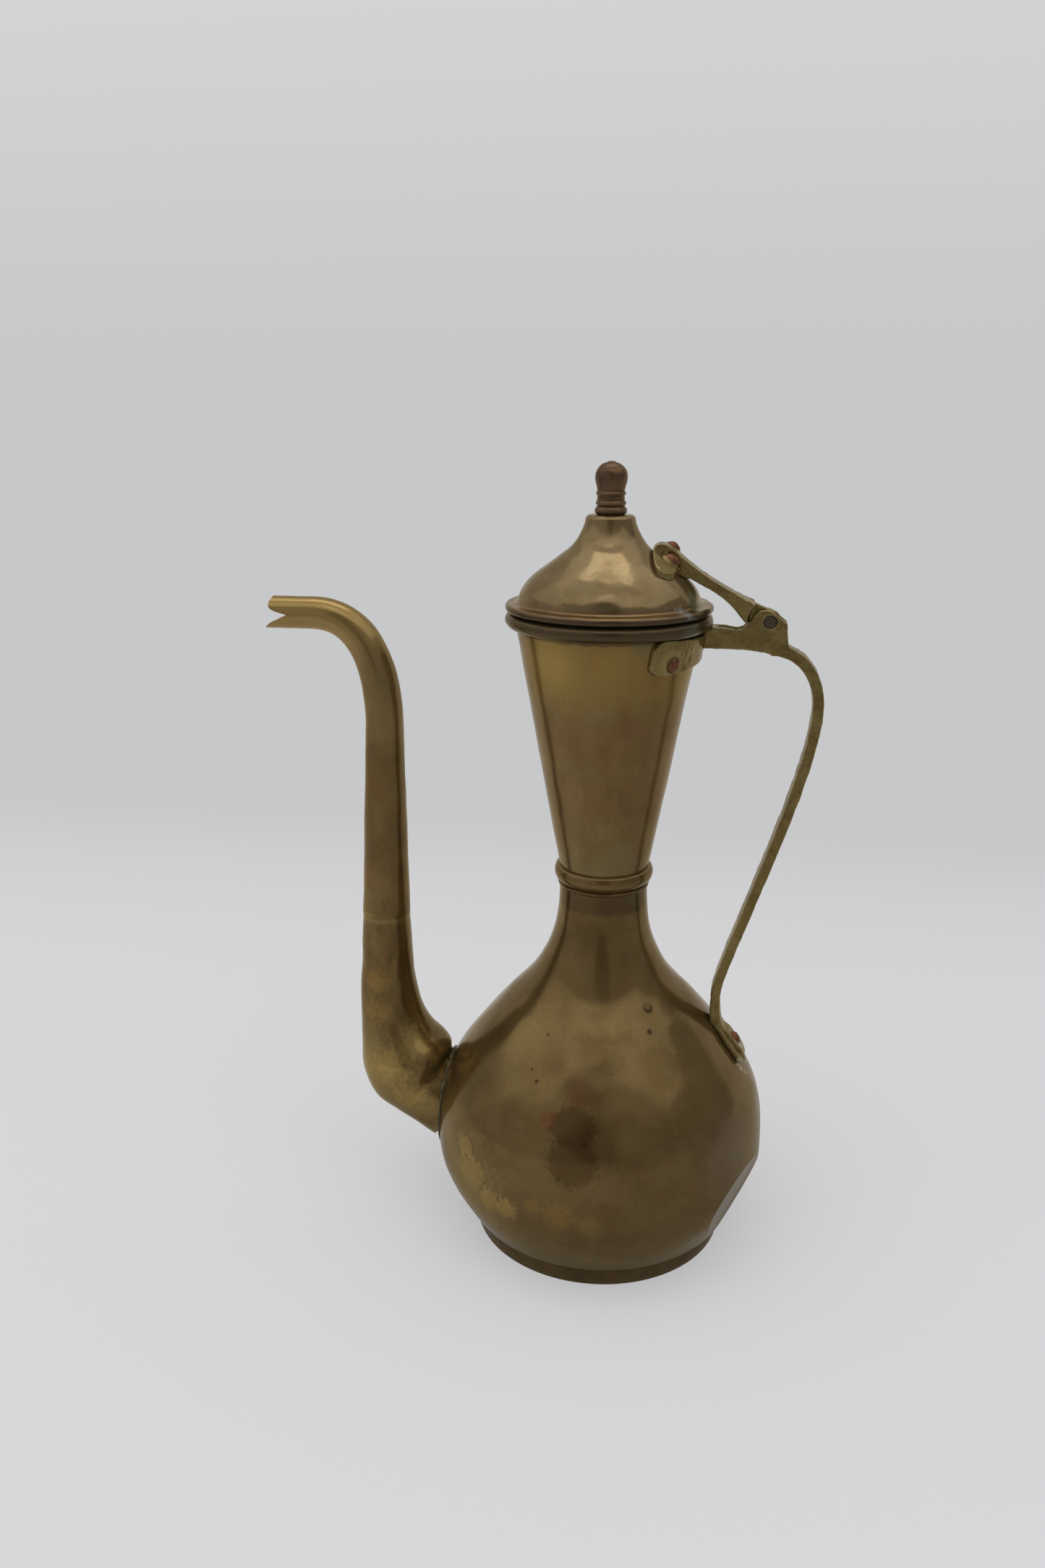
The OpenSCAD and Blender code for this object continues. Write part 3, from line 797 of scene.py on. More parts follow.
def make_groups() -> None:
    """Makes the shader groups that the finishes share."""
    place = {"Vector": PLACE}
    new_group("patina", place, ("Cloud", "Blotch", "Mottle", "Grain", "Speck"), patina)
    new_group("spot", place | {"Centre": PLACE, "Radius": 1.0, "Soft": 0.5, "Wobble": 0.6},
              ("Mask",), spot)
    new_group("band", place | {"Low": 0.0, "High": 1.0, "Soft": 0.3, "Wobble": 0.5},
              ("Mask",), band)
    new_group("hammer", place | {"Scale": 1.0}, ("Height",), hammer)
    new_group("scratches", place, ("Mask",), scratches)
    new_group("wear", place, ("Edge", "Hollow"), wear)
    new_group("filed", {"Run": 0.0, "Side": 0.0}, ("Height", "Stroke"), filed)


# --- Finishes -----------------------------------------------------------------------------------


@dataclass(frozen=True)
class Spot:
    """A patch of its own colour about a point, in millimetres."""

    at: tuple[float, float, float]
    radius: float
    colour: Colour
    amount: float = 0.8
    soft: float = 0.6
    wobble: float = 0.8
    dull: float = 0.0


@dataclass(frozen=True)
class Band:
    """A level band of its own colour between two heights, in millimetres."""

    low: float
    high: float
    soft: float
    colour: Colour
    amount: float = 0.6
    dull: float = 0.0
    ragged: float = 8


@dataclass(frozen=True)
class Finish:
    """A metal that has darkened with age, with the strength of each effect; some of its bands and
    spots are painted light and shade.
    """

    slot: Slot
    base: Colour
    dark: Colour
    light: Colour
    stain: Colour
    rub: Colour
    warm: Colour = srgb(112, 78, 44)
    rough: tuple[float, float] = (0.26, 0.42)
    metallic: float = 0.72
    stretch: tuple[float, float, float] = (1.0, 1.0, 1.0)
    cloud: float = 0.6
    blotch: float = 0.5
    mottle: float = 0.22
    speck: float = 0.5
    edge: float = 0.35
    hollow: float = 0.5
    scratch: float = 0.12
    grain: float = 0.22
    grain_dull: float = 0.35
    grain_bump: float = 0.012
    hammer_scale: float = 0.9
    hammer_bump: float = 0.0
    filed: float = 0.0
    filed_tint: float = 0.45
    filed_bump: float = 0.16
    sheen: Colour = srgb(236, 224, 198)
    spots: tuple[Spot, ...] = ()
    bands: tuple[Band, ...] = ()

    def build(self) -> bpy.types.Material:
        """Makes the node tree.

        Returns:
            The material, named after its slot.
        """
        mat = bpy.data.materials.new(self.slot.value)
        g = blank_graph(mat)
        coords = g.node("ShaderNodeTexCoord").outputs["Object"]
        place = g.vector("MULTIPLY", coords, (CM_PER_M, CM_PER_M, CM_PER_M))
        drawn = g.vector("MULTIPLY", place, self.stretch)
        old = g.group("patina", Vector=drawn).outputs
        rub = g.group("wear", Vector=place).outputs
        lines = g.group("scratches", Vector=place).outputs["Mask"]

        def part(mask: object, amount: float) -> bpy.types.NodeSocket:
            """A mask at part strength."""
            return g.math("MULTIPLY", mask, amount)

        colour = g.mix(part(old["Cloud"], self.cloud), self.base, self.dark)
        colour = g.mix(part(old["Blotch"], self.blotch), colour, self.light)
        colour = g.mix(part(old["Mottle"], self.mottle), colour, self.warm)
        grain = g.step(old["Grain"], lo=0.35, hi=0.7)
        colour = g.mix(part(grain, self.grain), colour, self.dark)
        colour = g.mix(part(old["Speck"], self.speck), colour, self.stain)
        colour = g.mix(part(lines, self.scratch), colour, self.rub)
        dull = part(grain, self.grain_dull)
        height = g.math("MULTIPLY", old["Grain"], self.grain_bump)
        if self.filed:
            run, side = (g.node("ShaderNodeAttribute", {"attribute_name": name}).outputs["Fac"]
                         for name in ("run", "side"))
            marks = g.group("filed", Run=run, Side=side).outputs
            colour = g.mix(part(marks["Stroke"], self.filed_tint * self.filed), colour, self.dark)
            height = g.math("ADD", height, part(marks["Height"], self.filed_bump * self.filed))
        if self.hammer_bump:
            cells = g.group("hammer", Vector=place, Scale=self.hammer_scale).outputs["Height"]
            height = g.math("ADD", height, part(cells, self.hammer_bump))
        colour = g.mix(part(rub["Hollow"], self.hollow), colour, self.stain)
        colour = g.mix(part(rub["Edge"], self.edge), colour, self.rub)
        metal: object = 1.0
        for b in self.bands:
            mask = g.group("band", Vector=place, Low=b.low / MM_PER_CM, High=b.high / MM_PER_CM,
                           Soft=b.soft / MM_PER_CM, Wobble=b.soft / b.ragged).outputs["Mask"]
            colour = g.mix(part(mask, b.amount), colour, b.colour)
            if b.dull:
                dull = g.math("ADD", dull, part(mask, b.dull))
        for s in self.spots:
            centre = tuple(c / MM_PER_CM for c in s.at)
            mask = g.group("spot", Vector=place, Centre=centre, Radius=s.radius / MM_PER_CM,
                           Soft=s.soft, Wobble=s.wobble).outputs["Mask"]
            colour = g.mix(part(mask, s.amount), colour, s.colour)
            if s.dull:
                dull = g.math("ADD", dull, part(mask, s.dull))
                metal = g.math("SUBTRACT", metal, part(mask, s.dull), clamp=True)
        rough = g.node("ShaderNodeMapRange", Value=dull, To_Min=self.rough[0],
                       To_Max=self.rough[1]).outputs["Result"]
        bump = g.node("ShaderNodeBump", Strength=1.0, Distance=MM, Height=height)
        shader = g.node("ShaderNodeBsdfPrincipled", Base_Color=colour, Roughness=rough,
                        Specular_Tint=self.sheen, Normal=bump.outputs["Normal"])
        if isinstance(metal, float):
            shader.inputs["Metallic"].default_value = self.metallic
        else:
            g.put(shader.inputs["Metallic"], part(metal, self.metallic))
        out = g.node("ShaderNodeOutputMaterial")
        g.put(out.inputs["Surface"], shader.outputs["BSDF"])
        return mat


# A dark stain colour, also used for painted shade in the crevice bands.
STAIN_AND_SHADE = srgb(44, 32, 20)
VERDIGRIS = srgb(84, 100, 80)
PALE_SOLDER = srgb(172, 168, 144)
RED = srgb(92, 56, 36)
GOLD = srgb(146, 114, 60)
VIOLET = srgb(102, 92, 92)


FOOT_BANDS = (
    Band(-1, 1.0, 0.8, srgb(96, 80, 54), amount=0.5),
    # Painted shadow in the gap under the bulb's overhanging edge.
    Band(8.4, 10, 0.7, STAIN_AND_SHADE, amount=0.6))
BULB_BANDS = (
    Band(0, 14, 6, srgb(92, 90, 70), amount=0.5),
    # Painted shade round the neck under the collar.
    Band(155, 161.5, 3, STAIN_AND_SHADE, amount=0.5))
BULB_SPOTS = (
    # Reddish haze and a brown patch on the belly.
    Spot((-3, -55, 92), 9, RED, amount=0.35),
    Spot((-14, -46, 98), 7, RED, amount=0.3),
    Spot((-5, -63.5, 80), 11, srgb(66, 46, 22), amount=0.6, soft=0.35, wobble=0.8),
    Spot((-4, -69, 68), 13, srgb(70, 50, 26), amount=0.6, soft=0.35, wobble=0.8),
    Spot((-15, -62, 82), 5, srgb(118, 54, 34), amount=0.45, soft=0.7, wobble=1.2),
    Spot((-4, -58, 90), 6, srgb(104, 56, 36), amount=0.35, soft=0.7, wobble=1.2),
    # A ring mark, pits and specks.
    Spot((21.9, -25.9, 116.4), 2.7, STAIN_AND_SHADE, amount=0.85, soft=0.3, wobble=0.3),
    Spot((21.4, -25.2, 116.9), 1.8, srgb(98, 80, 50), amount=0.85, soft=0.3, wobble=0.2),
    Spot((23.3, -33.2, 109.4), 1.5, STAIN_AND_SHADE, amount=0.8, soft=0.4),
    Spot((-18.5, -38.1, 107.4), 1.1, STAIN_AND_SHADE, amount=0.8),
    Spot((-23.8, -46.6, 95.5), 0.9, STAIN_AND_SHADE, amount=0.8),
    Spot((-21.4, -50.5, 92.3), 1.2, STAIN_AND_SHADE, amount=0.8),
    Spot((-9.8, -70.5, 60.8), 1.4, STAIN_AND_SHADE, amount=0.5),
    Spot((-7.5, -71.9, 46.9), 1.2, RED, amount=0.6),
    # Gold patches low on the spout's side.
    Spot((-48.8, -53.3, 48.6), 11, srgb(176, 142, 76), amount=0.4, soft=0.6, wobble=1.6),
    Spot((-40, -60, 40), 7, srgb(186, 150, 84), amount=0.45, soft=0.5, wobble=1.4),
    Spot((-31.5, -64.4, 40), 6, srgb(182, 148, 84), amount=0.45, soft=0.5, wobble=1.6),
    Spot((-52, -49, 58), 6, srgb(160, 128, 70), amount=0.4, soft=0.5, wobble=1.6),
    Spot((-9.7, -70.9, 44.0), 9, GOLD, amount=0.35, soft=0.7, wobble=1.6),
    Spot((3.0, -71.8, 42), 7, GOLD, amount=0.3, soft=0.7, wobble=1.4),
    Spot((-20, -68.5, 46), 5, GOLD, amount=0.35, soft=0.7, wobble=1.4),
    # Broad painted light on the left side, and painted shade low on the right front.
    Spot((-50, -50, 36), 34, srgb(152, 130, 82), amount=0.6, soft=0.9, wobble=1.0),
    Spot((-34, -38, 114), 24, srgb(148, 124, 76), amount=0.6, soft=0.9, wobble=0.5),
    Spot((30, -62, 48), 38, srgb(92, 74, 46), amount=0.3, soft=0.9, wobble=1.0),
    # Painted shade in the dent.
    Spot((63, -27, 32), 18, srgb(76, 62, 34), amount=0.6, soft=0.8, wobble=0.6),
    # Solder that ran below the handle's foot.
    Spot((60.9, -8.6, 85), 1.9, PALE_SOLDER, amount=0.6, soft=0.5, wobble=1.2, dull=0.3),
    Spot((61.8, -7.8, 81.5), 1.9, PALE_SOLDER, amount=0.6, soft=0.5, wobble=1.2, dull=0.3),
    Spot((63, -5.4, 78.6), 1.9, PALE_SOLDER, amount=0.6, soft=0.5, wobble=1.2, dull=0.3),
    # A violet bloom on the handle's side.
    Spot((60, -38, 60), 26, VIOLET, amount=0.35, soft=0.9, wobble=0.8))
CONE_BANDS = (
    Band(252, 271, 12, srgb(140, 112, 56), amount=0.5),
    Band(160, 176, 6, VERDIGRIS, amount=0.15),
    # Painted shade on the rolled mouth under the lid's edge.
    Band(271, 281, 1.2, srgb(60, 50, 40), amount=0.8, dull=0.3),
    Band(226, 234, 8, srgb(112, 76, 48), amount=0.3),
    Band(200, 212, 9, srgb(112, 80, 50), amount=0.25))
CONE_SPOTS = (
    # Golden fields under the rim.
    Spot((-18, -28, 262), 16, srgb(158, 134, 68), amount=0.5, soft=0.9, wobble=0.5),
    Spot((6, -33, 262), 16, srgb(146, 118, 60), amount=0.35, soft=0.9, wobble=0.5),
    # Stains by the seam.
    Spot((-34, -14, 268), 5, STAIN_AND_SHADE, amount=0.5, soft=0.8, wobble=1.4),
    Spot((-29, -16, 250), 4, STAIN_AND_SHADE, amount=0.4),
    # Reddish fields lower down.
    Spot((10, -31, 238), 9, srgb(110, 72, 46), amount=0.35, soft=0.8, wobble=1.2),
    Spot((2, -29, 222), 8, srgb(116, 78, 50), amount=0.3, soft=0.8, wobble=1.2),
    # Pits.
    Spot((-8, -22.3, 200), 1.2, STAIN_AND_SHADE, amount=0.5),
    Spot((2, -26, 215), 0.9, STAIN_AND_SHADE, amount=0.5),
    # Greenish grey at the foot and by the handle's leaf.
    Spot((8, -20, 182), 8, srgb(112, 106, 74), amount=0.4, soft=0.8, wobble=1.0),
    Spot((16, -32, 270), 6, srgb(90, 96, 74), amount=0.35),
    Spot((31, -22, 272), 8, srgb(66, 72, 62), amount=0.6, soft=0.5, wobble=0.8, dull=0.3))
SPOUT_BANDS = (
    Band(266, 290, 12, srgb(156, 130, 78), amount=0.65),
    Band(226, 262, 14, srgb(142, 120, 78), amount=0.45),
    Band(141.2, 142.3, 0.5, srgb(132, 112, 72), amount=0.15))
SPOUT_SPOTS = (
    # A lighter bend with rubbed golden patches.
    Spot((-98, -14, 68), 34, srgb(146, 124, 76), amount=0.55, soft=0.9, wobble=0.5),
    Spot((-112, -6, 78), 12, GOLD, amount=0.5, soft=0.8, wobble=1.6),
    Spot((-84, -18, 62), 11, srgb(176, 146, 84), amount=0.6, soft=0.9, wobble=1.2),
    Spot((-92, -18, 76), 13, srgb(170, 142, 82), amount=0.6, soft=0.9, wobble=1.2),
    Spot((-104, -12, 70), 12, srgb(156, 128, 74), amount=0.5, soft=0.9, wobble=1.2),
    Spot((-82, -14, 84), 14, srgb(160, 134, 80), amount=0.6, soft=0.9, wobble=1.2),
    Spot((-78, -20, 56), 12, srgb(160, 134, 80), amount=0.5, soft=0.9, wobble=1.2),
    # Reddish fields up the tube.
    Spot((-100, -6, 160), 9, srgb(116, 78, 48), amount=0.35, soft=0.8, wobble=1.4),
    Spot((-98, -8, 200), 8, srgb(116, 80, 48), amount=0.3, soft=0.8, wobble=1.4),
    # Gold above the bend.
    Spot((-99, -12, 112), 8, GOLD, amount=0.5, soft=0.8, wobble=1.6),
    Spot((-97, -10, 98), 9, GOLD, amount=0.45, soft=0.8, wobble=1.6))
LID_BANDS = (
    # Painted shade on the underside of the rolled edge and below it.
    Band(274, 280.6, 0.8, srgb(52, 43, 35), amount=0.75, dull=0.3),
    Band(281, 283, 1.0, srgb(112, 82, 60), amount=0.4))
LID_SPOTS = (
    # Pale dirt on the flange.
    Spot((31.5, -24, 282), 4.2, srgb(132, 138, 136), amount=0.6, soft=0.6, wobble=1.6, dull=0.4),
    # Solder and verdigris by the strap's pad and below it.
    Spot((18.8, -17.0, 300.5), 2.3, srgb(168, 166, 146), amount=0.55, soft=0.6, wobble=0.9,
         dull=0.4),
    Spot((17.0, -17.0, 303), 2.2, VERDIGRIS, amount=0.7, soft=0.5, wobble=0.9, dull=0.4),
    Spot((34, -12, 284), 6, VERDIGRIS, amount=0.5, soft=0.6, wobble=1.2, dull=0.3))
CAST_SPOTS = (
    # Lighter metal round the near rivet, with dirt at its edge.
    Spot((27.5, -26.5, 262), 8.0, srgb(150, 136, 86), amount=0.5, soft=0.5, wobble=0.6),
    Spot((27.5, -26.5, 262), 4.1, srgb(64, 60, 36), amount=0.7, soft=0.3, wobble=0.3),
    # Solder at the handle's foot.
    Spot((61, 0, 92.5), 5.4, PALE_SOLDER, amount=0.6, soft=0.3, wobble=0.5, dull=0.2),
    Spot((63, -6, 79), 4, PALE_SOLDER, amount=0.6, soft=0.5, wobble=1.0, dull=0.2),
    Spot((61.2, -8.5, 85), 2.6, PALE_SOLDER, amount=0.6, soft=0.5, wobble=1.0, dull=0.2))


def finishes() -> Iterable[Finish]:
    """Lists the finish of every material slot.

    Returns:
        The finishes in the order of the slots.
    """
    yield Finish(
        Slot.FOOT, base=srgb(92, 74, 46), dark=srgb(66, 52, 32), light=srgb(108, 88, 55),
        stain=STAIN_AND_SHADE, rub=srgb(124, 102, 64), rough=(0.30, 0.46), blotch=0.3, edge=0.2,
        bands=FOOT_BANDS)
    yield Finish(
        Slot.BULB, base=srgb(110, 91, 55), dark=srgb(90, 71, 40), light=srgb(122, 104, 68),
        stain=srgb(60, 42, 26), rub=srgb(140, 118, 80), rough=(0.16, 0.30), cloud=0.6,
        blotch=0.45, mottle=0.3, speck=0.25, scratch=0.06, hammer_scale=0.75, hammer_bump=0.05,
        spots=BULB_SPOTS,
        bands=BULB_BANDS)
    yield Finish(
        Slot.CONE, base=srgb(121, 101, 61), dark=srgb(96, 75, 42), light=srgb(134, 115, 75),
        stain=srgb(58, 42, 26), rub=srgb(144, 122, 80), rough=(0.18, 0.32),
        stretch=(1.2, 1.2, 0.5), cloud=0.7, blotch=0.5, mottle=0.45, speck=0.3, scratch=0.08,
        hammer_bump=0.02,
        bands=CONE_BANDS,
        spots=CONE_SPOTS)
    yield Finish(
        Slot.SPOUT, base=srgb(110, 91, 54), dark=srgb(86, 68, 39), light=srgb(132, 112, 69),
        stain=srgb(60, 42, 28), rub=srgb(150, 126, 78), rough=(0.17, 0.32), cloud=0.7,
        blotch=0.5, mottle=0.45, stretch=(1.1, 1.1, 0.6), scratch=0.08, hammer_bump=0.02,
        bands=SPOUT_BANDS,
        spots=SPOUT_SPOTS)
    yield Finish(
        Slot.LID, base=srgb(126, 108, 75), dark=srgb(100, 82, 52), light=srgb(146, 127, 94),
        stain=srgb(74, 50, 34), rub=srgb(176, 156, 122), rough=(0.15, 0.28), metallic=0.78,
        cloud=0.5, blotch=0.45, edge=0.5, scratch=0.08, hammer_scale=0.8, hammer_bump=0.07,
        bands=LID_BANDS,
        spots=LID_SPOTS)
    yield Finish(
        Slot.FINIAL, base=srgb(92, 70, 52), dark=srgb(64, 48, 35), light=srgb(108, 86, 64),
        stain=srgb(40, 29, 20), rub=srgb(156, 130, 100), rough=(0.22, 0.36), edge=0.45,
        hollow=0.8)
    yield Finish(
        Slot.CAST, base=srgb(120, 103, 60), dark=srgb(90, 76, 42), light=srgb(144, 127, 80),
        stain=srgb(48, 40, 25), rub=srgb(178, 164, 124), rough=(0.22, 0.38), cloud=0.5,
        blotch=0.5, mottle=0.15, edge=0.45, hollow=0.9, grain_bump=0.02, scratch=0.12, filed=0.4,
        spots=CAST_SPOTS)
    yield Finish(
        Slot.COPPER, base=srgb(108, 64, 44), dark=srgb(76, 44, 30), light=srgb(124, 80, 56),
        stain=srgb(42, 28, 20), rub=srgb(150, 104, 76), rough=(0.26, 0.42), edge=0.2,
        cloud=0.5, grain_bump=0.03)
    yield Finish(
        Slot.IRON, base=srgb(56, 49, 41), dark=srgb(36, 31, 26), light=srgb(76, 65, 50),
        stain=srgb(66, 40, 25), rub=srgb(106, 97, 84), rough=(0.38, 0.58), metallic=0.8,
        speck=0.8, grain_bump=0.08)
    yield Finish(
        Slot.SOLDER, base=srgb(62, 60, 44), dark=srgb(38, 36, 26), light=srgb(92, 88, 66),
        stain=srgb(32, 28, 20), rub=srgb(132, 126, 98), rough=(0.40, 0.62), metallic=0.6,
        cloud=0.6, blotch=0.5, edge=0.3, grain_bump=0.10)


FINISHES: dict[Slot, bpy.types.Material] = {}


# --- Pieces -------------------------------------------------------------------------------------


@dataclass
class FootAndBulb:
    """The foot ring and the hand-raised bulb with its dent."""

    wall: float = 1.2
    lip_in: float = 51.0
    ring_top: float = 9.3
    dent_turn: float = -22.8
    dent_rise: float = -19.6
    dent_reach: float = 52.0
    dent_bowl: float = 0.5

    def build(self) -> None:
        """Adds the foot ring and the bulb."""
        ring = lathe([pt(FOOT_R - 1.6, 0.3), pt(FOOT_R - 1.3, 0), pt(FOOT_R - 0.4, 0),
                      pt(FOOT_R, 0.4), pt(FOOT_R + 0.7, 4.6), pt(FOOT_TOP_R, 8.6),
                      pt(FOOT_TOP_R, self.ring_top), pt(FOOT_TOP_R - 1.6, self.ring_top),
                      pt(FOOT_R - 0.8, 4.6)])
        displace(ring, lambda p, n: (rolling(p, size=11, height=0.14, seed=3) - 0.1)
                 * blend01(p.z, lo=0, hi=2))
        Piece("foot_ring_worn", Slot.FOOT, Body.POT, ("foot_ring",)).add(ring)

        inner = inset(BULB_OUTER, self.wall)
        shell = lathe(joined([pt(self.lip_in, LIP_Z + 0.1)], BULB_OUTER, list(reversed(inner)),
                             [pt(self.lip_in, LIP_Z + self.wall)]), steps=288)
        displace(shell, self.height)
        self.dent(shell)
        piece = Piece("bulb_raised", Slot.BULB, Body.POT, ("bulb", "bulb_neck"))
        obj = piece.make(shell)
        cut_with_tube(obj, *Spout().root_bore())
        piece.place(obj)

    def height(self, p: Vector, n: Vector) -> float:
        """Finds how far the bulb's wall departs from its turned form.

        Args:
            p: a point of the wall, n: its normal.
        Returns:
            The height in millimetres.
        """
        fade = blend01(p.z, lo=9, hi=20) * blend01(p.z, lo=163, hi=140)
        inside = -1.0 if n.dot(Vector((p.x, p.y, 0))) < 0 and p.z > 13 else 1.0
        shape = (hammered(p, cell=15, depth=0.16, seed=5.3)
                 + rolling(p, size=26, height=0.35, seed=2.1)
                 + rolling(p, size=9, height=0.07, seed=6.6) - 0.05)
        return shape * fade * inside

    def dent(self, bm: bmesh.types.BMesh) -> None:
        """Knocks a shallow flat-bottomed dent with a crisp rim into the lower right.

        Args:
            bm: the bulb's mesh.
        """
        out = direction(self.dent_turn, self.dent_rise)
        for back in (0.0, 0.35, 0.8):
            bmesh.ops.bisect_plane(bm, geom=bm.verts[:] + bm.edges[:] + bm.faces[:], dist=1e-6,
                                   plane_co=out * (self.dent_reach - back) * MM, plane_no=out)
        for v in bm.verts:
            p = v.co / MM
            inside = math.hypot(p.x, p.y) < radius_at(BULB_OUTER, p.z) - self.wall / 2
            h = p.dot(out) - self.dent_reach + (self.wall if inside else 0.0)
            if h > 0:
                push = h + self.dent_bowl * blend01(h, lo=0.0, hi=2.6)
                v.co -= out * push * blend01(p.z, lo=9.5, hi=13.0) * MM


@dataclass
class Neck:
    """The collar and the cone with its rolled mouth."""

    bead: Vector = field(default_factory=lambda: pt(16.4, 167.4))
    bead_r: float = 4.6
    low_bead: Vector = field(default_factory=lambda: pt(18.55, 162.45))
    low_bead_r: float = 0.9
    collar_in: float = 18.72
    wall: float = 1.1
    sleeve_r: float = 17.4
    sleeve_in: float = 16.3
    sleeve_z: float = 156.0

    def build(self) -> None:
        """Adds the collar and the cone."""
        waist = self.collar_in + 0.18
        collar = lathe(joined([pt(self.collar_in, 161.6)],
                              arc(self.low_bead, self.low_bead_r, -80, 74, 8), [pt(waist, 163.5)],
                              arc(self.bead, self.bead_r, -52, 36, 20),
                              [pt(waist, 170.4), pt(self.collar_in, 165.9)]))
        displace(collar, lambda p, n: rolling(p, size=6, height=0.16, seed=9) - 0.06)
        Piece("neck_collar_bead", Slot.BULB, Body.POT, ("neck_collar",), 50).add(collar)

        low, step, rows = 166, 2.65, 41
        outer = joined([pt(self.sleeve_r, self.sleeve_z), pt(self.sleeve_r, low - 0.2)],
                       [self.side(low + k * step) for k in range(rows)])
        rim = arc(pt(MOUTH_R, MOUTH_Z), MOUTH_ROLL, 244.3, 576.9, 40)
        inside = ([self.side(z) - pt(self.wall, 0) for z in range(272, low - 1, -3)]
                  + [pt(self.sleeve_in, 164.0), pt(self.sleeve_in, self.sleeve_z)])
        cone = lathe(joined(outer, rim, inside), steps=224)
        displace(cone, self.height)
        Piece("neck_cone_wall", Slot.CONE, Body.POT, ("neck_cone",), 50).add(cone)

    @staticmethod
    def side(z: float) -> Vector:
        """A point of the cone's outer wall."""
        return pt(CONE_FOOT_R + CONE_SLOPE * (z - BULB_TOP), z)

    def height(self, p: Vector, n: Vector) -> float:
        """Finds how far the cone's wall departs from its turned form.

        Args:
            p: a point of the wall, n: its normal, which is not used.
        Returns:
            The height in millimetres.
        """
        fade = blend01(p.z, lo=168, hi=180)
        rim = blend01(p.z, lo=271, hi=273)
        flat = Vector((p.x, p.y, p.z * 0.5))
        body = (rolling(p, size=24, height=0.30, seed=4.4)
                + rolling(p, size=8, height=0.09, seed=7.1)
                + hammered(flat, cell=11, depth=0.06, seed=8.0))
        edge = rolling(p, size=7, height=0.16, seed=1.2) - 0.08
        return (body * (1 - rim) + edge * rim) * fade


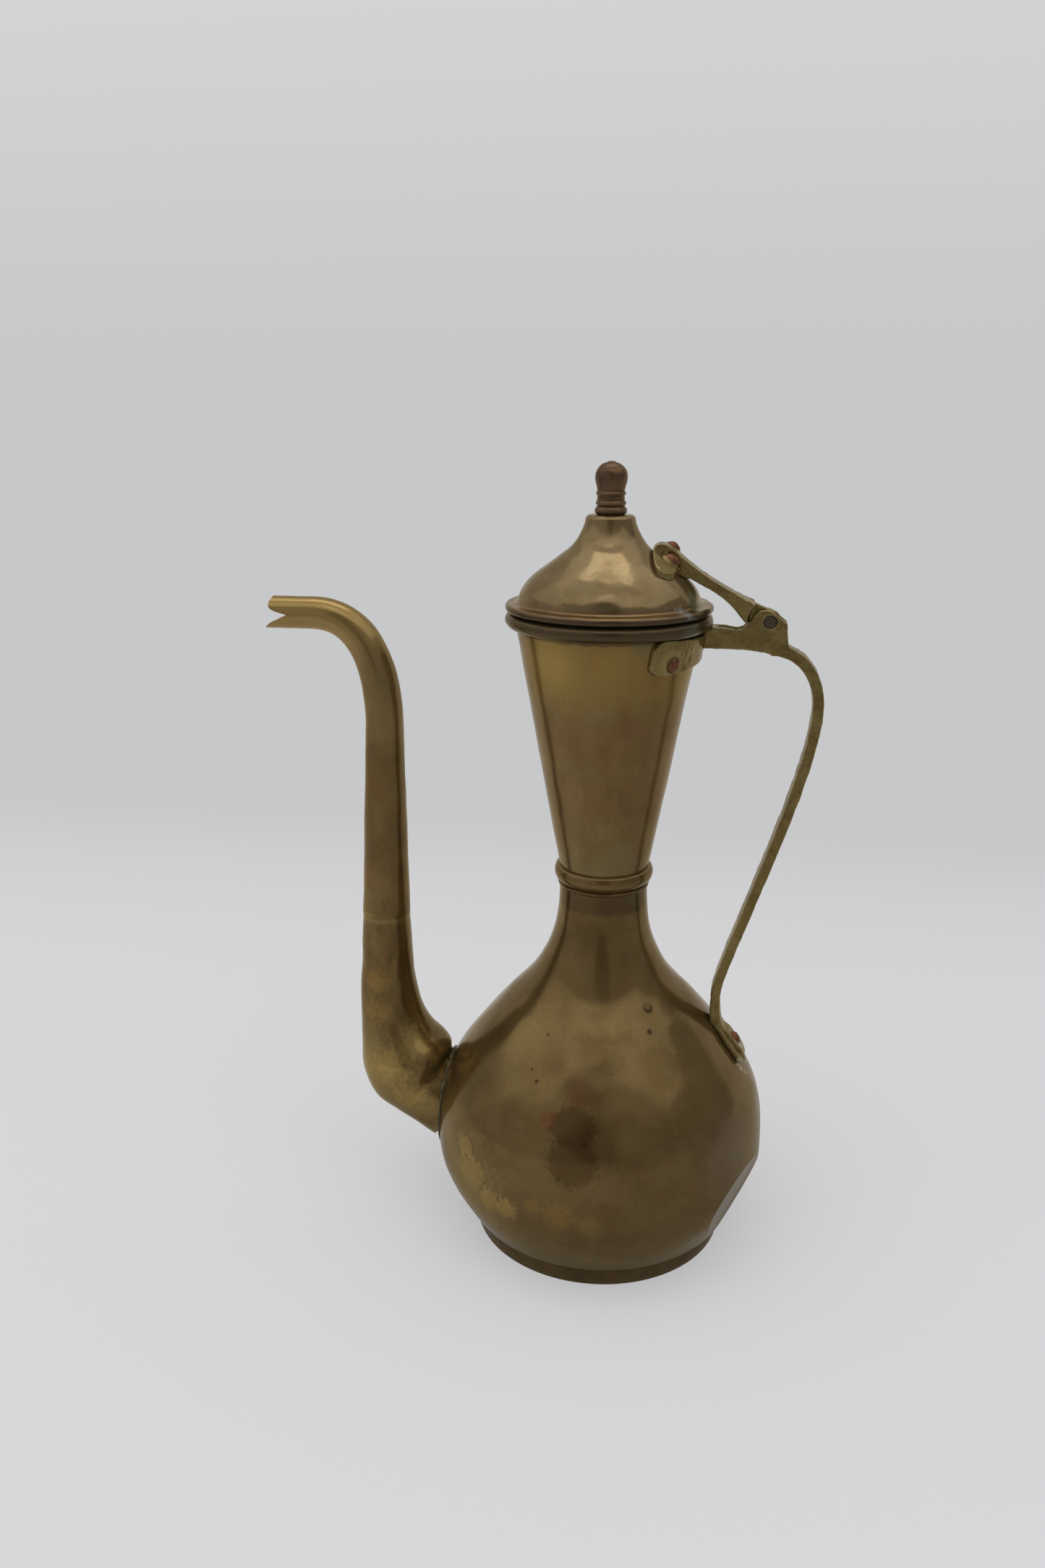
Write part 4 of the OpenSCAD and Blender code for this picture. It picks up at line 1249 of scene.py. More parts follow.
@dataclass
class Spout:
    """The spout's two pieces, its seam and its beak, with reach measured from the pot's axis."""

    sides: int = 64
    wall: float = 1.1
    root: Vector = field(default_factory=lambda: pt(66.0, 50.9))
    root_angle: float = 32.7
    root_r: float = 18.5
    bend_end: Vector = field(default_factory=lambda: pt(96.4, 113.4))
    bend_end_r: float = 11.9
    joint: Vector = field(default_factory=lambda: pt(96.1, 141.8))
    joint_r: float = 10.5
    lap: float = 8.0
    swan_low: Vector = field(default_factory=lambda: pt(94.3, 228.0))
    swan_low_r: float = 7.95
    swan_end: Vector = field(default_factory=lambda: pt(124.0, BEAK_Z))
    beak_r: float = 6.75
    lip_round: float = 0.32
    seam_r: float = 0.85

    def root_bore(self) -> tuple[Vector, Vector, float]:
        """The root's bore through the bulb: its start, direction and radius."""
        a = math.radians(self.root_angle)
        return (Vector((-self.root.x, 0, self.root.y)), Vector((-math.cos(a), 0, math.sin(a))),
                self.root_r + 0.05)

    @staticmethod
    def ring(centre: Vector, heading: float, r: float) -> Station:
        """A ring across the spout's middle line, which lies in the plane Y = 0."""
        a = math.radians(heading)
        return Station(Vector((-centre.x, 0, centre.y)), Vector((0, 1, 0)),
                       Vector((math.sin(a), 0, math.cos(a))), r, r)

    def rings(self, line: Line, radii: Sequence[float]) -> list[Station]:
        """Puts rings along a middle line, square to it.

        Args:
            line: the middle line.
            radii: the radius at each of its points.
        Returns:
            The rings in order.
        """
        out = []
        for i, p in enumerate(line):
            d = line[min(i + 1, len(line) - 1)] - line[max(i - 1, 0)]
            out.append(self.ring(p, math.degrees(math.atan2(d.y, d.x)), radii[i]))
        return out

    def build(self) -> None:
        """Adds the elbow, the tube and the seam."""
        self.elbow()
        self.tube()
        self.seam()

    def elbow(self) -> None:
        """Adds the wide lower spout up to the joint."""
        table = ((0, self.root_r), (0.12, 18.9), (0.3, 20.9), (0.48, 20.3), (0.64, 16.8),
                 (0.8, 13.9), (1, self.bend_end_r))
        near, n, far = 5, 34, 12
        out = along(self.root, self.root_angle, 14.3)
        bend = bez(out, along(out, self.root_angle, 10.7), self.bend_end - pt(0.6, 33.5),
                   self.bend_end, n)
        start = [self.root + (out - self.root) * k / near for k in range(near)]
        up = [self.bend_end + (self.joint - self.bend_end) * k / far for k in range(1, far + 1)]
        radii = ([self.root_r] * near + [smooth_lookup(k / n, table) for k in range(n + 1)]
                 + [self.bend_end_r + (self.joint_r - self.bend_end_r) * k / far
                    for k in range(1, far + 1)])
        bm = sweep(self.rings(start + bend + up, radii), self.sides)
        self.thicken(bm)
        displace(bm, lambda p, n: (rolling(p, size=16, height=0.5, seed=6.2)
                                   + rolling(p, size=7, height=0.10, seed=3.1)
                                   + hammered(p, cell=12, depth=0.14, seed=1.1))
                 * blend01(-p.x, lo=74, hi=86))
        Piece("spout_elbow_worn", Slot.SPOUT, Body.POT, ("spout_elbow",)).add(bm)

    def thicken(self, bm: bmesh.types.BMesh) -> None:
        """Gives an open tube its wall, inwards.

        Args:
            bm: the tube.
        """
        bmesh.ops.recalc_face_normals(bm, faces=bm.faces[:])
        probe = max(bm.faces, key=lambda f: f.calc_center_median().y)
        if probe.normal.y < 0:
            bmesh.ops.reverse_faces(bm, faces=bm.faces[:])
        bmesh.ops.solidify(bm, geom=bm.faces[:], thickness=self.wall * MM)
        bmesh.ops.recalc_face_normals(bm, faces=bm.faces[:])

    def tube(self) -> None:
        """Adds the upper spout with its slit beak."""
        low_n, bend_n, tip_n = 30, 40, 14
        low, beak = self.swan_low, self.swan_end
        end = pt(BEAK_REACH + 1, BEAK_Z)
        lap_r = self.joint_r - self.wall - 0.05
        rise = [self.joint + (low - self.joint) * k / low_n for k in range(low_n)]
        bend = bez(low, low + pt(0, 29), beak - pt(20, 0), beak, bend_n)
        tip = [beak + (end - beak) * k / tip_n for k in range(1, tip_n + 1)]
        line = [self.joint - pt(0, self.lap), self.joint - pt(0, 0.3)] + rise + bend + tip
        radii = ([lap_r, lap_r]
                 + [self.joint_r + (self.swan_low_r - self.joint_r) * k / low_n
                    for k in range(low_n)]
                 + [self.swan_low_r + (self.beak_r - self.swan_low_r) * k / bend_n
                    for k in range(bend_n + 1)]
                 + [self.beak_r] * tip_n)
        bm = sweep(self.rings(line, radii), self.sides)
        self.thicken(bm)
        displace(bm, lambda p, n: (rolling(p, size=18, height=0.30, seed=7.7)
                                   + rolling(p, size=7, height=0.08, seed=2.9))
                 * blend01(p.z, lo=143, hi=150) * blend01(-p.x, lo=138, hi=128))
        piece = Piece("spout_tube_worn", Slot.SPOUT, Body.POT, ("spout_tube",), 44)
        obj = piece.make(bm)
        self.cut_beak(obj, piece.sharp)
        piece.place(obj)

    def cut_beak(self, obj: bpy.types.Object, sharp: float) -> None:
        """Trims the beak to its two lips and the slit between them.

        Args:
            obj: the tube.
            sharp: edges that bend by more than this many degrees stay crisp.
        """
        far = 30.0
        lips = joined(
            [pt(10.7, -0.2)], bez(pt(7.0, 0.75), pt(5.5, 1.2), pt(3.0, 1.9), pt(2.7, 3.2), 6),
            bez(pt(2.6, 3.8), pt(2.5, 4.6), pt(2.8, 5.4), pt(3.2, 6.0), 4),
            [pt(4.5, far), pt(-far, far), pt(-far, -far), pt(1.4, -far)],
            bez(pt(0.7, -7.0), pt(0.1, -6.6), pt(0.0, -6.2), pt(0.5, -5.6), 4),
            bez(pt(1.6, -4.8), pt(2.6, -4.0), pt(3.8, -3.2), pt(5.0, -2.8), 4))
        bm = bmesh.new()
        flat = bm.faces.new([bm.verts.new(((p.x - BEAK_REACH) * MM, -far * MM, (p.y + BEAK_Z) * MM))
                             for p in lips])
        made = bmesh.ops.extrude_face_region(bm, geom=[flat])["geom"]
        bmesh.ops.translate(bm, vec=(0, 2 * far * MM, 0), verts=verts_of(made))
        bmesh.ops.recalc_face_normals(bm, faces=bm.faces[:])
        subtract(obj, bm)
        edge = obj.modifiers.new("lips", "BEVEL")
        edge.width = self.lip_round * MM
        edge.segments = 3
        edge.limit_method = "ANGLE"
        edge.angle_limit = math.radians(48)
        bake(obj)
        set_sharp(obj, sharp)

    def seam(self) -> None:
        """Adds the lumpy solder bead where the root meets the bulb."""
        path = self.seam_path(turns=180)
        stations = []
        for k, p in enumerate(path):
            ahead = (path[(k + 1) % len(path)] - path[k - 1]).normalized()
            out = Vector((p.x, p.y, 0)).normalized()
            across = ahead.cross(out).normalized()
            size = (self.seam_r + rolling(p, size=3.0, height=0.6, seed=2.0)
                    + rolling(p, size=1.1, height=0.35, seed=5.0))
            stations.append(Station(p + out * 0.1, across, ahead.cross(across), size, size * 0.85))
        bm = sweep(stations, 12, loop=True)
        Piece("spout_seam_bead", Slot.SOLDER, Body.POT, ("spout_seam",), 70).add(bm)

    def seam_path(self, turns: int) -> list[Vector]:
        """Finds where the root leaves the bulb.

        Args:
            turns: how many points to find.
        Returns:
            The points round the root, in millimetres.
        """
        origin, axis, r = self.root_bore()
        side = Vector((0, 1, 0))
        up = axis.cross(side)
        clear, inner, outer, rounds = 0.35, -25.0, 40.0, 30
        path = []
        for k in range(turns):
            a = math.tau * k / turns
            edge = origin + (side * math.cos(a) + up * math.sin(a)) * (r + clear)
            lo, hi = inner, outer
            for _ in range(rounds):
                mid = (lo + hi) / 2
                q = edge + axis * mid
                within = math.hypot(q.x, q.y) < radius_at(BULB_OUTER, q.z)
                lo, hi = (mid, hi) if within else (lo, mid)
            path.append(edge + axis * hi)
        return path


def subtract(obj: bpy.types.Object, cutter: bmesh.types.BMesh) -> None:
    """Takes one mesh from an object.

    Args:
        obj: the object, which keeps the result.
        cutter: the mesh that is taken away. It is freed.
    """
    tool = object_of("cutter", cutter)
    mesh = tool.data
    cut = obj.modifiers.new("cut", "BOOLEAN")
    cut.operation = "DIFFERENCE"
    cut.solver = "EXACT"
    cut.object = tool
    bake(obj)
    bpy.data.objects.remove(tool)
    bpy.data.meshes.remove(mesh)


def cut_with_tube(obj: bpy.types.Object, origin: Vector, axis: Vector, r: float) -> None:
    """Bores a round hole through an object, from inside outwards.

    Args:
        obj: the object, which keeps the result.
        origin: the bore's start, axis: its direction, r: its radius.
    """
    depth, ahead = 44, 8
    bm = bmesh.new()
    turn = axis.to_track_quat("Z", "Y").to_matrix().to_4x4()
    turn.translation = (origin + axis * ahead) * MM
    bmesh.ops.create_cone(bm, cap_ends=True, segments=96, radius1=r * MM, radius2=r * MM,
                          depth=depth * MM, matrix=turn)
    subtract(obj, bm)
    set_sharp(obj, Piece.sharp)


@dataclass
class Rivet:
    """A round-headed copper rivet on a wall, with a burr on the inside."""

    name: str
    node: str
    body: Body
    place: Matrix
    seat: float
    sheet: float
    head: float = 1.5
    head_r: float = 3.2
    shank_r: float = 1.6
    burr_r: float = 2.6
    burr_h: float = 1.0
    seed: float = 0.0

    def build(self) -> None:
        """Adds the rivet, its head slightly battered."""
        ball = (self.head_r**2 + self.head**2) / (2 * self.head)
        top = [pt(self.head_r * math.sin(math.radians(a)), 0) for a in range(90, -1, -9)]
        crown = [pt(p.x, self.seat + self.head - ball + math.sqrt(ball**2 - p.x**2)) for p in top]
        burr = -self.sheet - 0.2
        section = joined([pt(0, burr - self.burr_h), pt(self.burr_r - 0.3, burr - self.burr_h),
                          pt(self.burr_r, burr - 0.6), pt(self.burr_r, burr),
                          pt(self.shank_r, burr), pt(self.shank_r, self.seat),
                          pt(self.head_r - 0.15, self.seat)], crown)
        bm = lathe(section, closed=False, steps=40)
        bmesh.ops.transform(bm, matrix=self.place, verts=bm.verts[:])
        displace(bm, lambda p, n: rolling(p, size=1.9, height=0.22, seed=self.seed) - 0.05)
        Piece(self.name, Slot.COPPER, self.body, (self.node,), 60).add(bm)


@dataclass
class Cast:
    """A cast piece: the solid's own form with its corners filed round and its skin uneven."""

    name: str
    node: str
    body: Body
    voxel: float
    passes: int
    spine: Line
    seed: float

    def build(self) -> None:
        """Adds the piece."""
        piece = Piece(self.name, Slot.CAST, self.body, (self.node,), 60)
        obj = new_object(self.name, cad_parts[self.node].data.copy())
        grid = obj.modifiers.new("grid", "REMESH")
        grid.mode = "VOXEL"
        grid.voxel_size = self.voxel * MM
        ease = obj.modifiers.new("ease", "SMOOTH")
        ease.factor = 0.5
        ease.iterations = self.passes
        bake(obj)
        bm = bmesh.new()
        bm.from_mesh(obj.data)
        displace(bm, lambda p, n: rolling(p, size=5.0, height=0.22, seed=self.seed)
                 + rolling(p, size=1.7, height=0.10, seed=self.seed + 4) - 0.04)
        self.measure(bm)
        for f in bm.faces:
            f.smooth = True
        bm.to_mesh(obj.data)
        bm.free()
        piece.place(obj)

    def measure(self, bm: bmesh.types.BMesh) -> None:
        """Keeps each point's place along and across the spine, for the file strokes.

        Args:
            bm: the mesh, which gets the attributes run and side, in millimetres.
        """
        run = bm.verts.layers.float.new("run")
        side = bm.verts.layers.float.new("side")
        steps = [0.0]
        for a, b in zip(self.spine, self.spine[1:]):
            steps.append(steps[-1] + (b - a).length)
        for v in bm.verts:
            q = pt(v.co.x, v.co.z) / MM
            best = (math.inf, 0.0)
            for a, b, s in zip(self.spine, self.spine[1:], steps):
                d = b - a
                t = min(max((q - a).dot(d) / d.length_squared, 0.0), 1.0)
                best = min(best, ((a + d * t - q).length, s + d.length * t))
            v[run] = best[1]
            v[side] = v.co.y / MM


@dataclass
class Castings:
    """The handle and the lid strap, each with the middle line that its file strokes follow."""

    grip: Vector = field(default_factory=lambda: pt(84.5, 243.05))
    heel: Vector = field(default_factory=lambda: pt(49.5, 113.0))
    bridge: Vector = field(default_factory=lambda: pt(38, 267))
    toe: Vector = field(default_factory=lambda: pt(62, 84))

    def build(self) -> None:
        """Adds the handle and the lid strap."""
        grip, heel = self.grip, self.heel
        handle = joined(
            [self.bridge, HINGE + pt(1.2, -7.9)],
            bez(HINGE + pt(1.2, -10.9), HINGE + pt(13.2, -11.1), grip + pt(-0.6, 11.4), grip, 10),
            bez(grip, grip + pt(1.6, -28.4), heel + pt(-0.6, 11.3), heel, 14), [self.toe])
        Cast("handle_casting", "handle", Body.POT, 0.4, 6, handle, 3.3).build()
        strap = [HINGE, HINGE + pt(-9.8, 4), HINGE + pt(-26, 15), HINGE + pt(-46, 29)]
        Cast("lid_strap_casting", "lid_strap", Body.LID, 0.34, 5, strap, 8.1).build()


@dataclass
class Lid:
    """The hammered dome with its rolled edge, and the turned finial."""

    wall: float = 1.0
    head_r: float = 6.5
    ring_r: float = 0.9
    base_bead: float = 1.5
    tip_r: float = 1.9
    tenon_r: float = 2.5
    tenon_h: float = 2.4

    def build(self) -> None:
        """Adds the dome and the finial."""
        skin = joined(list(reversed(DOME_OUTER)),
                      bez(DOME_EDGE, DOME_EDGE + pt(0.2, -1), DOME_EDGE + pt(1.7, -1.1),
                          pt(LID_R, LID_Z + LID_ROLL), 10),
                      arc(pt(LID_R, LID_Z), LID_ROLL, 90, -165, 24))
        under = [pt(0, PEAK_Z - self.wall)] + list(reversed(inset(DOME_OUTER, self.wall)))
        under = [p for p in under if p.x >= 0]
        close = [pt(LID_R - 1.4, LID_Z + 0.5), pt(DOME_EDGE.x - 0.7, DOME_EDGE.y - 1.4)]
        section = joined([pt(0, PEAK_Z)], skin, close, list(reversed(under)))
        dome = lathe(section, closed=False, steps=224)
        displace(dome, self.height)
        Piece("lid_dome_hammered", Slot.LID, Body.LID, ("lid_dome",), 50).add(dome)
        self.finial()

    def height(self, p: Vector, n: Vector) -> float:
        """Finds how far the dome departs from its turned form.

        Args:
            p: a point of the dome, n: its normal.
        Returns:
            The height in millimetres.
        """
        flank = blend01(p.z, lo=284, hi=287) * blend01(p.z, lo=312, hi=305)
        out = 1.0 if n.z > 0 else -1.0
        facets = (hammered(p, cell=9.0, depth=0.16, seed=2.7)
                  + rolling(p, size=14, height=0.3, seed=5.0)
                  + rolling(p, size=6, height=0.06, seed=8.3))
        rim = rolling(p, size=8, height=0.2, seed=3.0) - 0.1
        rim *= (1 - flank) * blend01(p.z, lo=300, hi=290)
        return facets * flank * out + rim * (1.0 if p.z > 276 else 0.0)

    def finial(self) -> None:
        """Adds the turned finial with its base bead, rings, round head and tenon."""
        z = PEAK_Z
        head, tip = self.head_r, self.tip_r
        section = joined(
            [pt(0, z - 0.2), pt(6.0, z - 0.2)], arc(pt(4.95, z + 1.5), self.base_bead, -70, 60, 8),
            [pt(5.5, z + 3.3)], arc(pt(5.15, z + 4.4), self.ring_r, -60, 60, 6),
            [pt(5.5, z + 5.6), pt(5.45, z + 6.9)], arc(pt(5.1, z + 8.1), self.ring_r, -60, 60, 6),
            [pt(5.45, z + 9.3)],
            bez(pt(5.55, z + 9.8), pt(5.75, z + 11.4), pt(head, z + 12.6), pt(head, z + 14.4), 10),
            bez(pt(head, z + 14.4), pt(head, z + 17.4), pt(3.9, z + 19.7), pt(tip, z + 19.9), 14),
            bez(pt(tip, z + 19.9), pt(1.7, z + 20.2), pt(1.0, z + 20.4), pt(0, z + 20.4), 5))
        bm = lathe(section, closed=False, steps=96)
        top = z + 20
        displace(bm, lambda p, n: rolling(p, size=3.5, height=0.14, seed=1.9) - 0.04
                 if p.z < top else 0.0)
        bmesh.ops.create_cone(bm, cap_ends=True, segments=32, radius1=self.tenon_r * MM,
                              radius2=self.tenon_r * MM, depth=self.tenon_h * MM,
                              matrix=Matrix.Translation((0, 0, (z - 1.1) * MM)))
        Piece("finial_turned", Slot.FINIAL, Body.LID, ("finial",), 45).add(bm)


@dataclass
class Fasteners:
    """The five copper rivets and the iron hinge pin."""

    neck_z: float = MOUTH_Z - 13
    neck_turn: float = 42.7
    neck_seat: float = 2.0
    neck_sheet: float = 1.1
    foot_z: float = LIP_Z + 81.0
    foot_seat: float = 3.6
    foot_sheet: float = 1.2
    lid_turn: float = 14.4
    lid_head: float = 1.8
    lid_sheet: float = 1.0
    pin_r: float = 2.6
    pin_half: float = 4.3

    def build(self) -> None:
        """Adds the rivets and the pin."""
        for name, side in (("near", -1), ("far", 1)):
            turn = side * self.neck_turn
            Rivet(f"neck_rivet_{name}_head", f"neck_rivet_{name}", Body.POT,
                  on_wall(Neck.side(self.neck_z).x, self.neck_z, -CONE_TILT, turn),
                  self.neck_seat, self.neck_sheet, seed=turn).build()
        Rivet("foot_rivet_head", "foot_rivet", Body.POT,
              self.seat_on(BULB_OUTER, self.foot_z, 0), self.foot_seat, self.foot_sheet,
              seed=5.0).build()
        for name, side, up, seat in (("near", -1, 17.5, 3.0), ("far", 1, 18.7, 5.8)):
            turn = side * self.lid_turn
            Rivet(f"lid_rivet_{name}_head", f"lid_rivet_{name}", Body.LID,
                  self.seat_on(DOME_OUTER, LID_Z + up, turn), seat, self.lid_sheet,
                  self.lid_head, seed=turn * 2).build()
        self.pin()

    @staticmethod
    def seat_on(outline: Line, z: float, turn: float) -> Matrix:
        """A place square to a turned wall."""
        return on_wall(radius_at(outline, z), z, rise_at(outline, z), turn)

    def pin(self) -> None:
        """Adds the hinge pin, along Y through the ears."""
        r, half, chamfer = self.pin_r, self.pin_half, 0.3
        bm = lathe([pt(0, -half), pt(r - chamfer, -half), pt(r, chamfer - half),
                    pt(r, half - chamfer), pt(r - chamfer, half), pt(0, half)],
                   closed=False, steps=48)
        turn = Matrix.Rotation(math.radians(90), 4, "X")
        place = Matrix.Translation((HINGE.x * MM, 0, HINGE.y * MM))
        bmesh.ops.transform(bm, matrix=place @ turn, verts=bm.verts[:])
        displace(bm, lambda p, n: rolling(p, size=1.2, height=0.1, seed=6.0) * abs(n.y))
        Piece("hinge_pin_iron", Slot.IRON, Body.POT, ("hinge_pin",), 40).add(bm)


# --- Stage --------------------------------------------------------------------------------------


@dataclass(frozen=True)
class Panel:
    """A soft-edged bright rectangle on a level ceiling one unit up, seen by reflections."""

    wide: tuple[float, float]
    long: tuple[float, float]
    soft: float
    level: float

    def mask(self, g: Graph, across: object, deep: object) -> bpy.types.NodeSocket:
        """Adds the rectangle's mask.

        Args:
            g: the tree.
            across: where a ray meets the ceiling in X, deep: where it does in Y.
        Returns:
            The mask's socket.
        """
        mask: object = 1.0
        for value, (lo, hi) in ((across, self.wide), (deep, self.long)):
            mask = g.math("MULTIPLY", mask, g.step(value, lo=lo, hi=lo + self.soft))
            mask = g.math("MULTIPLY", mask, g.step(value, lo=hi, hi=hi - self.soft))
        return mask


@dataclass(frozen=True)
class Lamp:
    """A soft rectangular lamp that faces a point, in metres and watts."""

    name: str
    at: tuple[float, float, float]
    to: tuple[float, float, float]
    size: tuple[float, float]
    power: float
    colour: Colour = (1.0, 0.985, 0.96)

    def build(self) -> None:
        """Adds the lamp, which reflections don't show."""
        data = bpy.data.lights.new(self.name, "AREA")
        data.shape = "RECTANGLE"
        data.size, data.size_y = self.size
        data.energy = self.power
        data.color = self.colour
        lamp = new_object(self.name, data)
        lamp.visible_glossy = False
        lamp.location = self.at
        aim = Vector(self.to) - Vector(self.at)
        lamp.rotation_euler = aim.to_track_quat("-Z", "Y").to_euler()


@dataclass(frozen=True)
class Studio:
    """Floor, backdrop, light and camera."""

    floor: Colour = srgb(222, 222, 224)
    floor_grain: Colour = srgb(205, 205, 207)
    floor_glow: Colour = srgb(215, 215, 216)
    back_low: Colour = srgb(199, 200, 201)
    back_high: Colour = srgb(213, 213, 214)
    half_width: float = 4.0
    front: float = -3.0
    wall_y: float = 1.2
    wall_top: float = 4.0
    bend: float = 1.2
    air: Colour = (0.80, 0.80, 0.81)
    facing: tuple[float, float, float] = (0.09, -0.996, 0.0)
    beside: tuple[float, float, float] = (0.996, 0.089, 0.0)
    ceiling: Panel = Panel((-2.6, 1.7), (-0.98, 9.0), 0.26, 1.14)
    ceiling_fall: float = -0.3
    panels: tuple[Panel, ...] = (
        Panel((-0.7, 0.6), (-0.3, 0.08), 0.1, 0.82),
        Panel((-0.42, 0.34), (0.04, 0.46), 0.08, 2.55),
        Panel((-0.22, 0.24), (-0.52, -0.28), 0.06, 1.75))
    shade: Colour = (0.11, 0.09, 0.075)
    lamps: tuple[Lamp, ...] = (
        Lamp("overhead", (0.03, -0.42, 1.15), (0.0, -0.02, 0.12), (1.5, 0.9), 3.6),
        Lamp("left", (-1.1, -0.5, 0.9), (0.0, 0.0, 0.15), (0.9, 0.9), 1.2))
    eye: tuple[float, float, float] = (45.74, -510.45, 361.38)
    gaze: tuple[float, float, float] = (-0.1496, 0.9446, -0.2921)
    lens: float = 29.36
    sensor: float = 36.0

    def build(self) -> None:
        """Adds the stage, the world, the lamps and the camera."""
        self.add_floor()
        self.add_world()
        for lamp in self.lamps:
            lamp.build()
        self.add_camera()

    def add_floor(self) -> None:
        """Adds a pale floor that sweeps up behind into a backdrop."""
        bm = bmesh.new()
        line = joined([pt(self.front, 0), pt(self.wall_y, 0)],
                      arc(pt(self.wall_y, self.bend), self.bend, -90, 0, 16),
                      [pt(self.wall_y + self.bend, self.wall_top)])
        verts = [bm.verts.new((-self.half_width, p.x, p.y)) for p in line]
        edges = [bm.edges.new(pair) for pair in zip(verts, verts[1:])]
        made = bmesh.ops.extrude_edge_only(bm, edges=edges)["geom"]
        bmesh.ops.translate(bm, vec=(2 * self.half_width, 0, 0), verts=verts_of(made))
        bmesh.ops.recalc_face_normals(bm, faces=bm.faces[:])
        for f in bm.faces:
            f.smooth = True
        obj = object_of("sweep", bm)
        obj.data.materials.append(self.paper())

    def paper(self) -> bpy.types.Material:
        """Makes the sweep's paper: lit where it shows shadow, plain where it is a backdrop.

        Returns:
            The material.
        """
        mat = bpy.data.materials.new("sweep_paper")
        g = blank_graph(mat)
        place = g.node("ShaderNodeTexCoord").outputs["Object"]
        tooth = g.noise(place, 180.0, detail=3.0)
        paper = g.mix(g.math("MULTIPLY", tooth, 0.04), self.floor, self.floor_grain)
        bump = g.node("ShaderNodeBump", Strength=0.05, Distance=0.0005, Height=tooth)
        sheet = g.node("ShaderNodeBsdfPrincipled", Base_Color=paper, Roughness=0.9,
                       Normal=bump.outputs["Normal"])
        rays = g.node("ShaderNodeLightPath").outputs
        split = g.node("ShaderNodeSeparateXYZ", Vector=place).outputs
        wall = g.step(split["Y"], lo=0.18, hi=0.58)
        glow = g.mix(g.step(split["Z"], lo=0.3, hi=1.4), self.back_low, self.back_high)
        glow = g.mix(wall, self.floor_glow, glow)
        screen = g.node("ShaderNodeEmission", Color=glow, Strength=1.0)
        seen = g.math("MULTIPLY", rays["Is Camera Ray"], g.math("MAXIMUM", wall, 0.55))
        # For reflections the floor glows at a painted level instead of showing its lit colour.
        mirror = g.node("ShaderNodeEmission", Color=(1.0, 1.0, 1.0),
                        Strength=self.mirrored(g, place, split))
        part = g.math("MULTIPLY", rays["Is Glossy Ray"], g.math("MULTIPLY_ADD", wall, -0.85, 0.85))
        lit = g.mix_shaders(part, sheet, mirror)
        out = g.node("ShaderNodeOutputMaterial")
        g.put(out.inputs["Surface"], g.mix_shaders(seen, lit, screen).outputs[0])
        return mat

    @staticmethod
    def mirrored(g: Graph, place: object, split: object) -> bpy.types.NodeSocket:
        """Adds how bright the floor looks in a reflection.

        Args:
            g: the tree, place: the point, split: its X, Y and Z.
        Returns:
            The level: lighter to the left and behind, darker close to the foot, even far off.
        """
        distant = 0.30
        level = g.math("MULTIPLY_ADD", g.step(split["X"], lo=0.5, hi=-0.7), 0.36, 0.36)
        level = g.math("MULTIPLY_ADD", g.step(split["Y"], lo=-0.2, hi=0.6), 0.24, level)
        out = g.vector("LENGTH", place, out=1)
        # Painted shade about the foot, as reflections see the floor.
        near = g.math("MULTIPLY_ADD", g.step(out, lo=0.05, hi=0.2), 0.45, 0.55)
        level = g.math("MULTIPLY", level, near)
        far = g.step(out, lo=0.3, hi=1.3)
        return g.math("MULTIPLY_ADD", far, g.math("SUBTRACT", distant, level), level)

    def add_world(self) -> None:
        """Adds an even world, which reflections see as a room with lamps and a dark side."""
        world = bpy.data.worlds.new("room")
        bpy.context.scene.world = world
        g = blank_graph(world)
        ray = g.vector("NORMALIZE", g.node("ShaderNodeTexCoord").outputs["Generated"])
        part = g.node("ShaderNodeSeparateXYZ", Vector=ray).outputs
        flat = g.node("ShaderNodeCombineXYZ", X=part["X"], Y=part["Y"]).outputs["Vector"]
        front = g.vector("DOT_PRODUCT", g.vector("NORMALIZE", flat), self.facing, out=1)
        tone = self.walls(g, front, part["X"])
        rise = g.math("MAXIMUM", part["Z"], 0.02)
        across = g.math("DIVIDE", part["X"], rise)
        deep = g.math("DIVIDE", part["Y"], rise)
        above = g.step(part["Z"], lo=0.03, hi=0.1)
        aside = g.step(g.math("ABSOLUTE", across), lo=0.35, hi=1.3)
        fade = g.math("MULTIPLY_ADD", aside, self.ceiling_fall, self.ceiling.level)
        for panel, level in ((self.ceiling, fade), *((p, p.level) for p in self.panels)):
            mask = g.math("MULTIPLY", panel.mask(g, across, deep), above)
            tone = g.mix(mask, tone, g.even(level))
        high = g.mix(self.dark_patch(g, ray, part["Z"], front), tone, self.shade)
        rays = g.node("ShaderNodeLightPath").outputs
        tone = g.mix(rays["Is Glossy Ray"], self.air, high)
        back = g.node("ShaderNodeBackground", Color=tone, Strength=1.0)
        out = g.node("ShaderNodeOutputWorld")
        g.put(out.inputs["Surface"], back.outputs[0])

    @staticmethod
    def walls(g: Graph, front: object, x: object) -> bpy.types.NodeSocket:
        """Adds the room's walls.

        Args:
            g: the tree.
            front: how much a ray points to the front, x: how much it points right.
        Returns:
            Their tone, lighter behind and to the left.
        """
        ramp = g.node("ShaderNodeValToRGB", Fac=g.math("MULTIPLY_ADD", front, 0.5, 0.5))
        stops = ((0.0, 0.62), (0.22, 0.36), (0.36, 0.30), (0.5, 0.40), (1.0, 0.34))
        ramp.color_ramp.elements.remove(ramp.color_ramp.elements[0])
        for k, (at, level) in enumerate(stops):
            stop = ramp.color_ramp.elements[0] if k == 0 else ramp.color_ramp.elements.new(at)
            stop.position = at
            stop.color = (level, level, level * 1.02, 1.0)
        side = g.math("MULTIPLY_ADD", x, -0.34, 1.0)
        return g.vector("MULTIPLY", ramp.outputs["Color"], g.even(side))

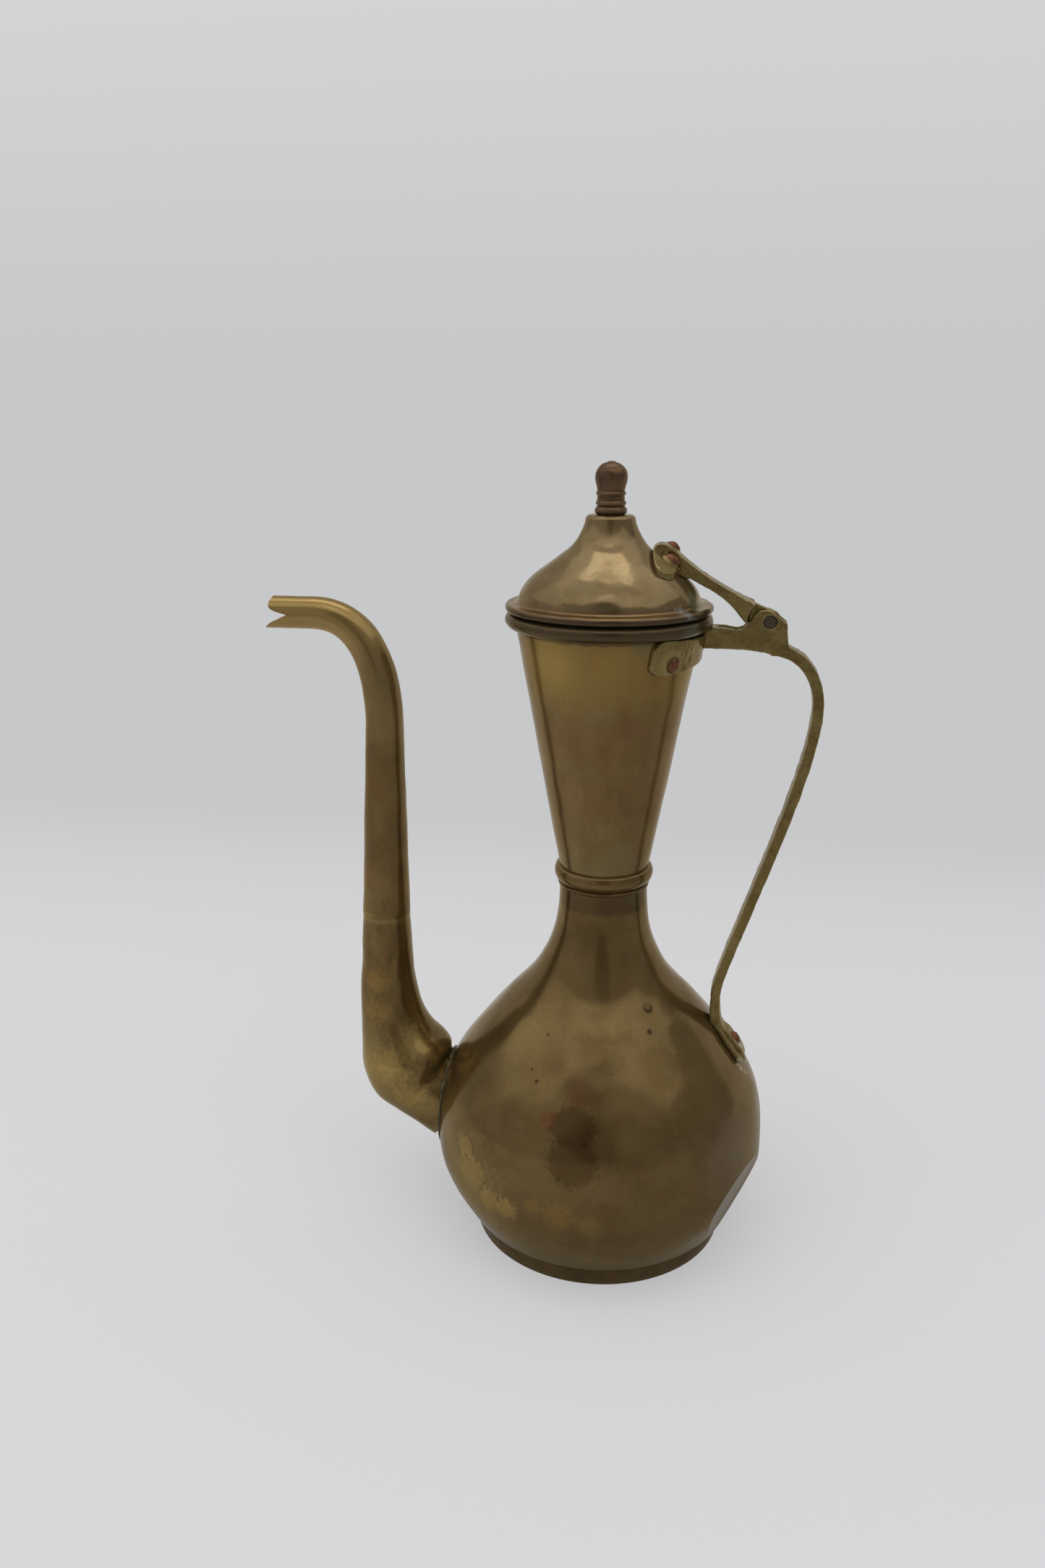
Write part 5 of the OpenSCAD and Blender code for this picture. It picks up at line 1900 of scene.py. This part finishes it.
    def dark_patch(self, g: Graph, ray: object, z: object, front: object) -> bpy.types.NodeSocket:
        """Adds a soft dark oval at the front of the room.

        Args:
            g: the tree.
            ray: a ray's direction, z: its rise, front: how much it points to the front.
        Returns:
            The oval's mask.
        """
        centre_z, half_width, half_height = 0.31, 0.25, 0.44
        aside = g.math("DIVIDE", g.vector("DOT_PRODUCT", ray, self.beside, out=1), half_width)
        over = g.math("DIVIDE", g.math("SUBTRACT", z, centre_z), half_height)
        oval = g.node("ShaderNodeCombineXYZ", X=aside, Y=over).outputs["Vector"]
        far = g.vector("LENGTH", oval, out=1)
        return g.math("MULTIPLY", g.step(far, lo=1.2, hi=0.8), g.step(front, lo=0.0, hi=0.2))

    def add_camera(self) -> None:
        """Adds the camera."""
        data = bpy.data.cameras.new("camera")
        data.sensor_fit = "VERTICAL"
        data.sensor_height = self.sensor
        data.sensor_width = self.sensor
        data.lens = self.lens
        data.clip_start = 0.01
        data.clip_end = 50.0
        cam = new_object("camera", data)
        cam.location = Vector(self.eye) * MM
        cam.rotation_mode = "QUATERNION"
        cam.rotation_quaternion = Vector(self.gaze).to_track_quat("-Z", "Y")
        bpy.context.scene.camera = cam


PLAIN_NODES = {"base_disc": Slot.FOOT, "mouth_wire": Slot.IRON, "lid_wire": Slot.IRON,
               "lid_bezel": Slot.LID, "finial_rove": Slot.FINIAL}


def dress_nodes() -> None:
    """Gives the CAD nodes that stay their finishes."""
    for node, slot in PLAIN_NODES.items():
        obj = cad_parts[node]
        if not obj.material_slots:
            obj.data.materials.append(FINISHES[slot])
        for entry in obj.material_slots:
            entry.material = FINISHES[slot]
        LOG.info("%s: finished as %s", node, slot.value)


def main() -> None:
    """Builds the whole scene."""
    logging.basicConfig(level=logging.INFO, format="%(message)s")
    bpy.context.scene.view_settings.view_transform = "Standard"
    Studio().build()
    make_groups()
    for finish in finishes():
        FINISHES[finish.slot] = finish.build()
    FootAndBulb().build()
    Neck().build()
    Spout().build()
    Castings().build()
    Lid().build()
    Fasteners().build()
    dress_nodes()


if __name__ == "__main__":
    main()
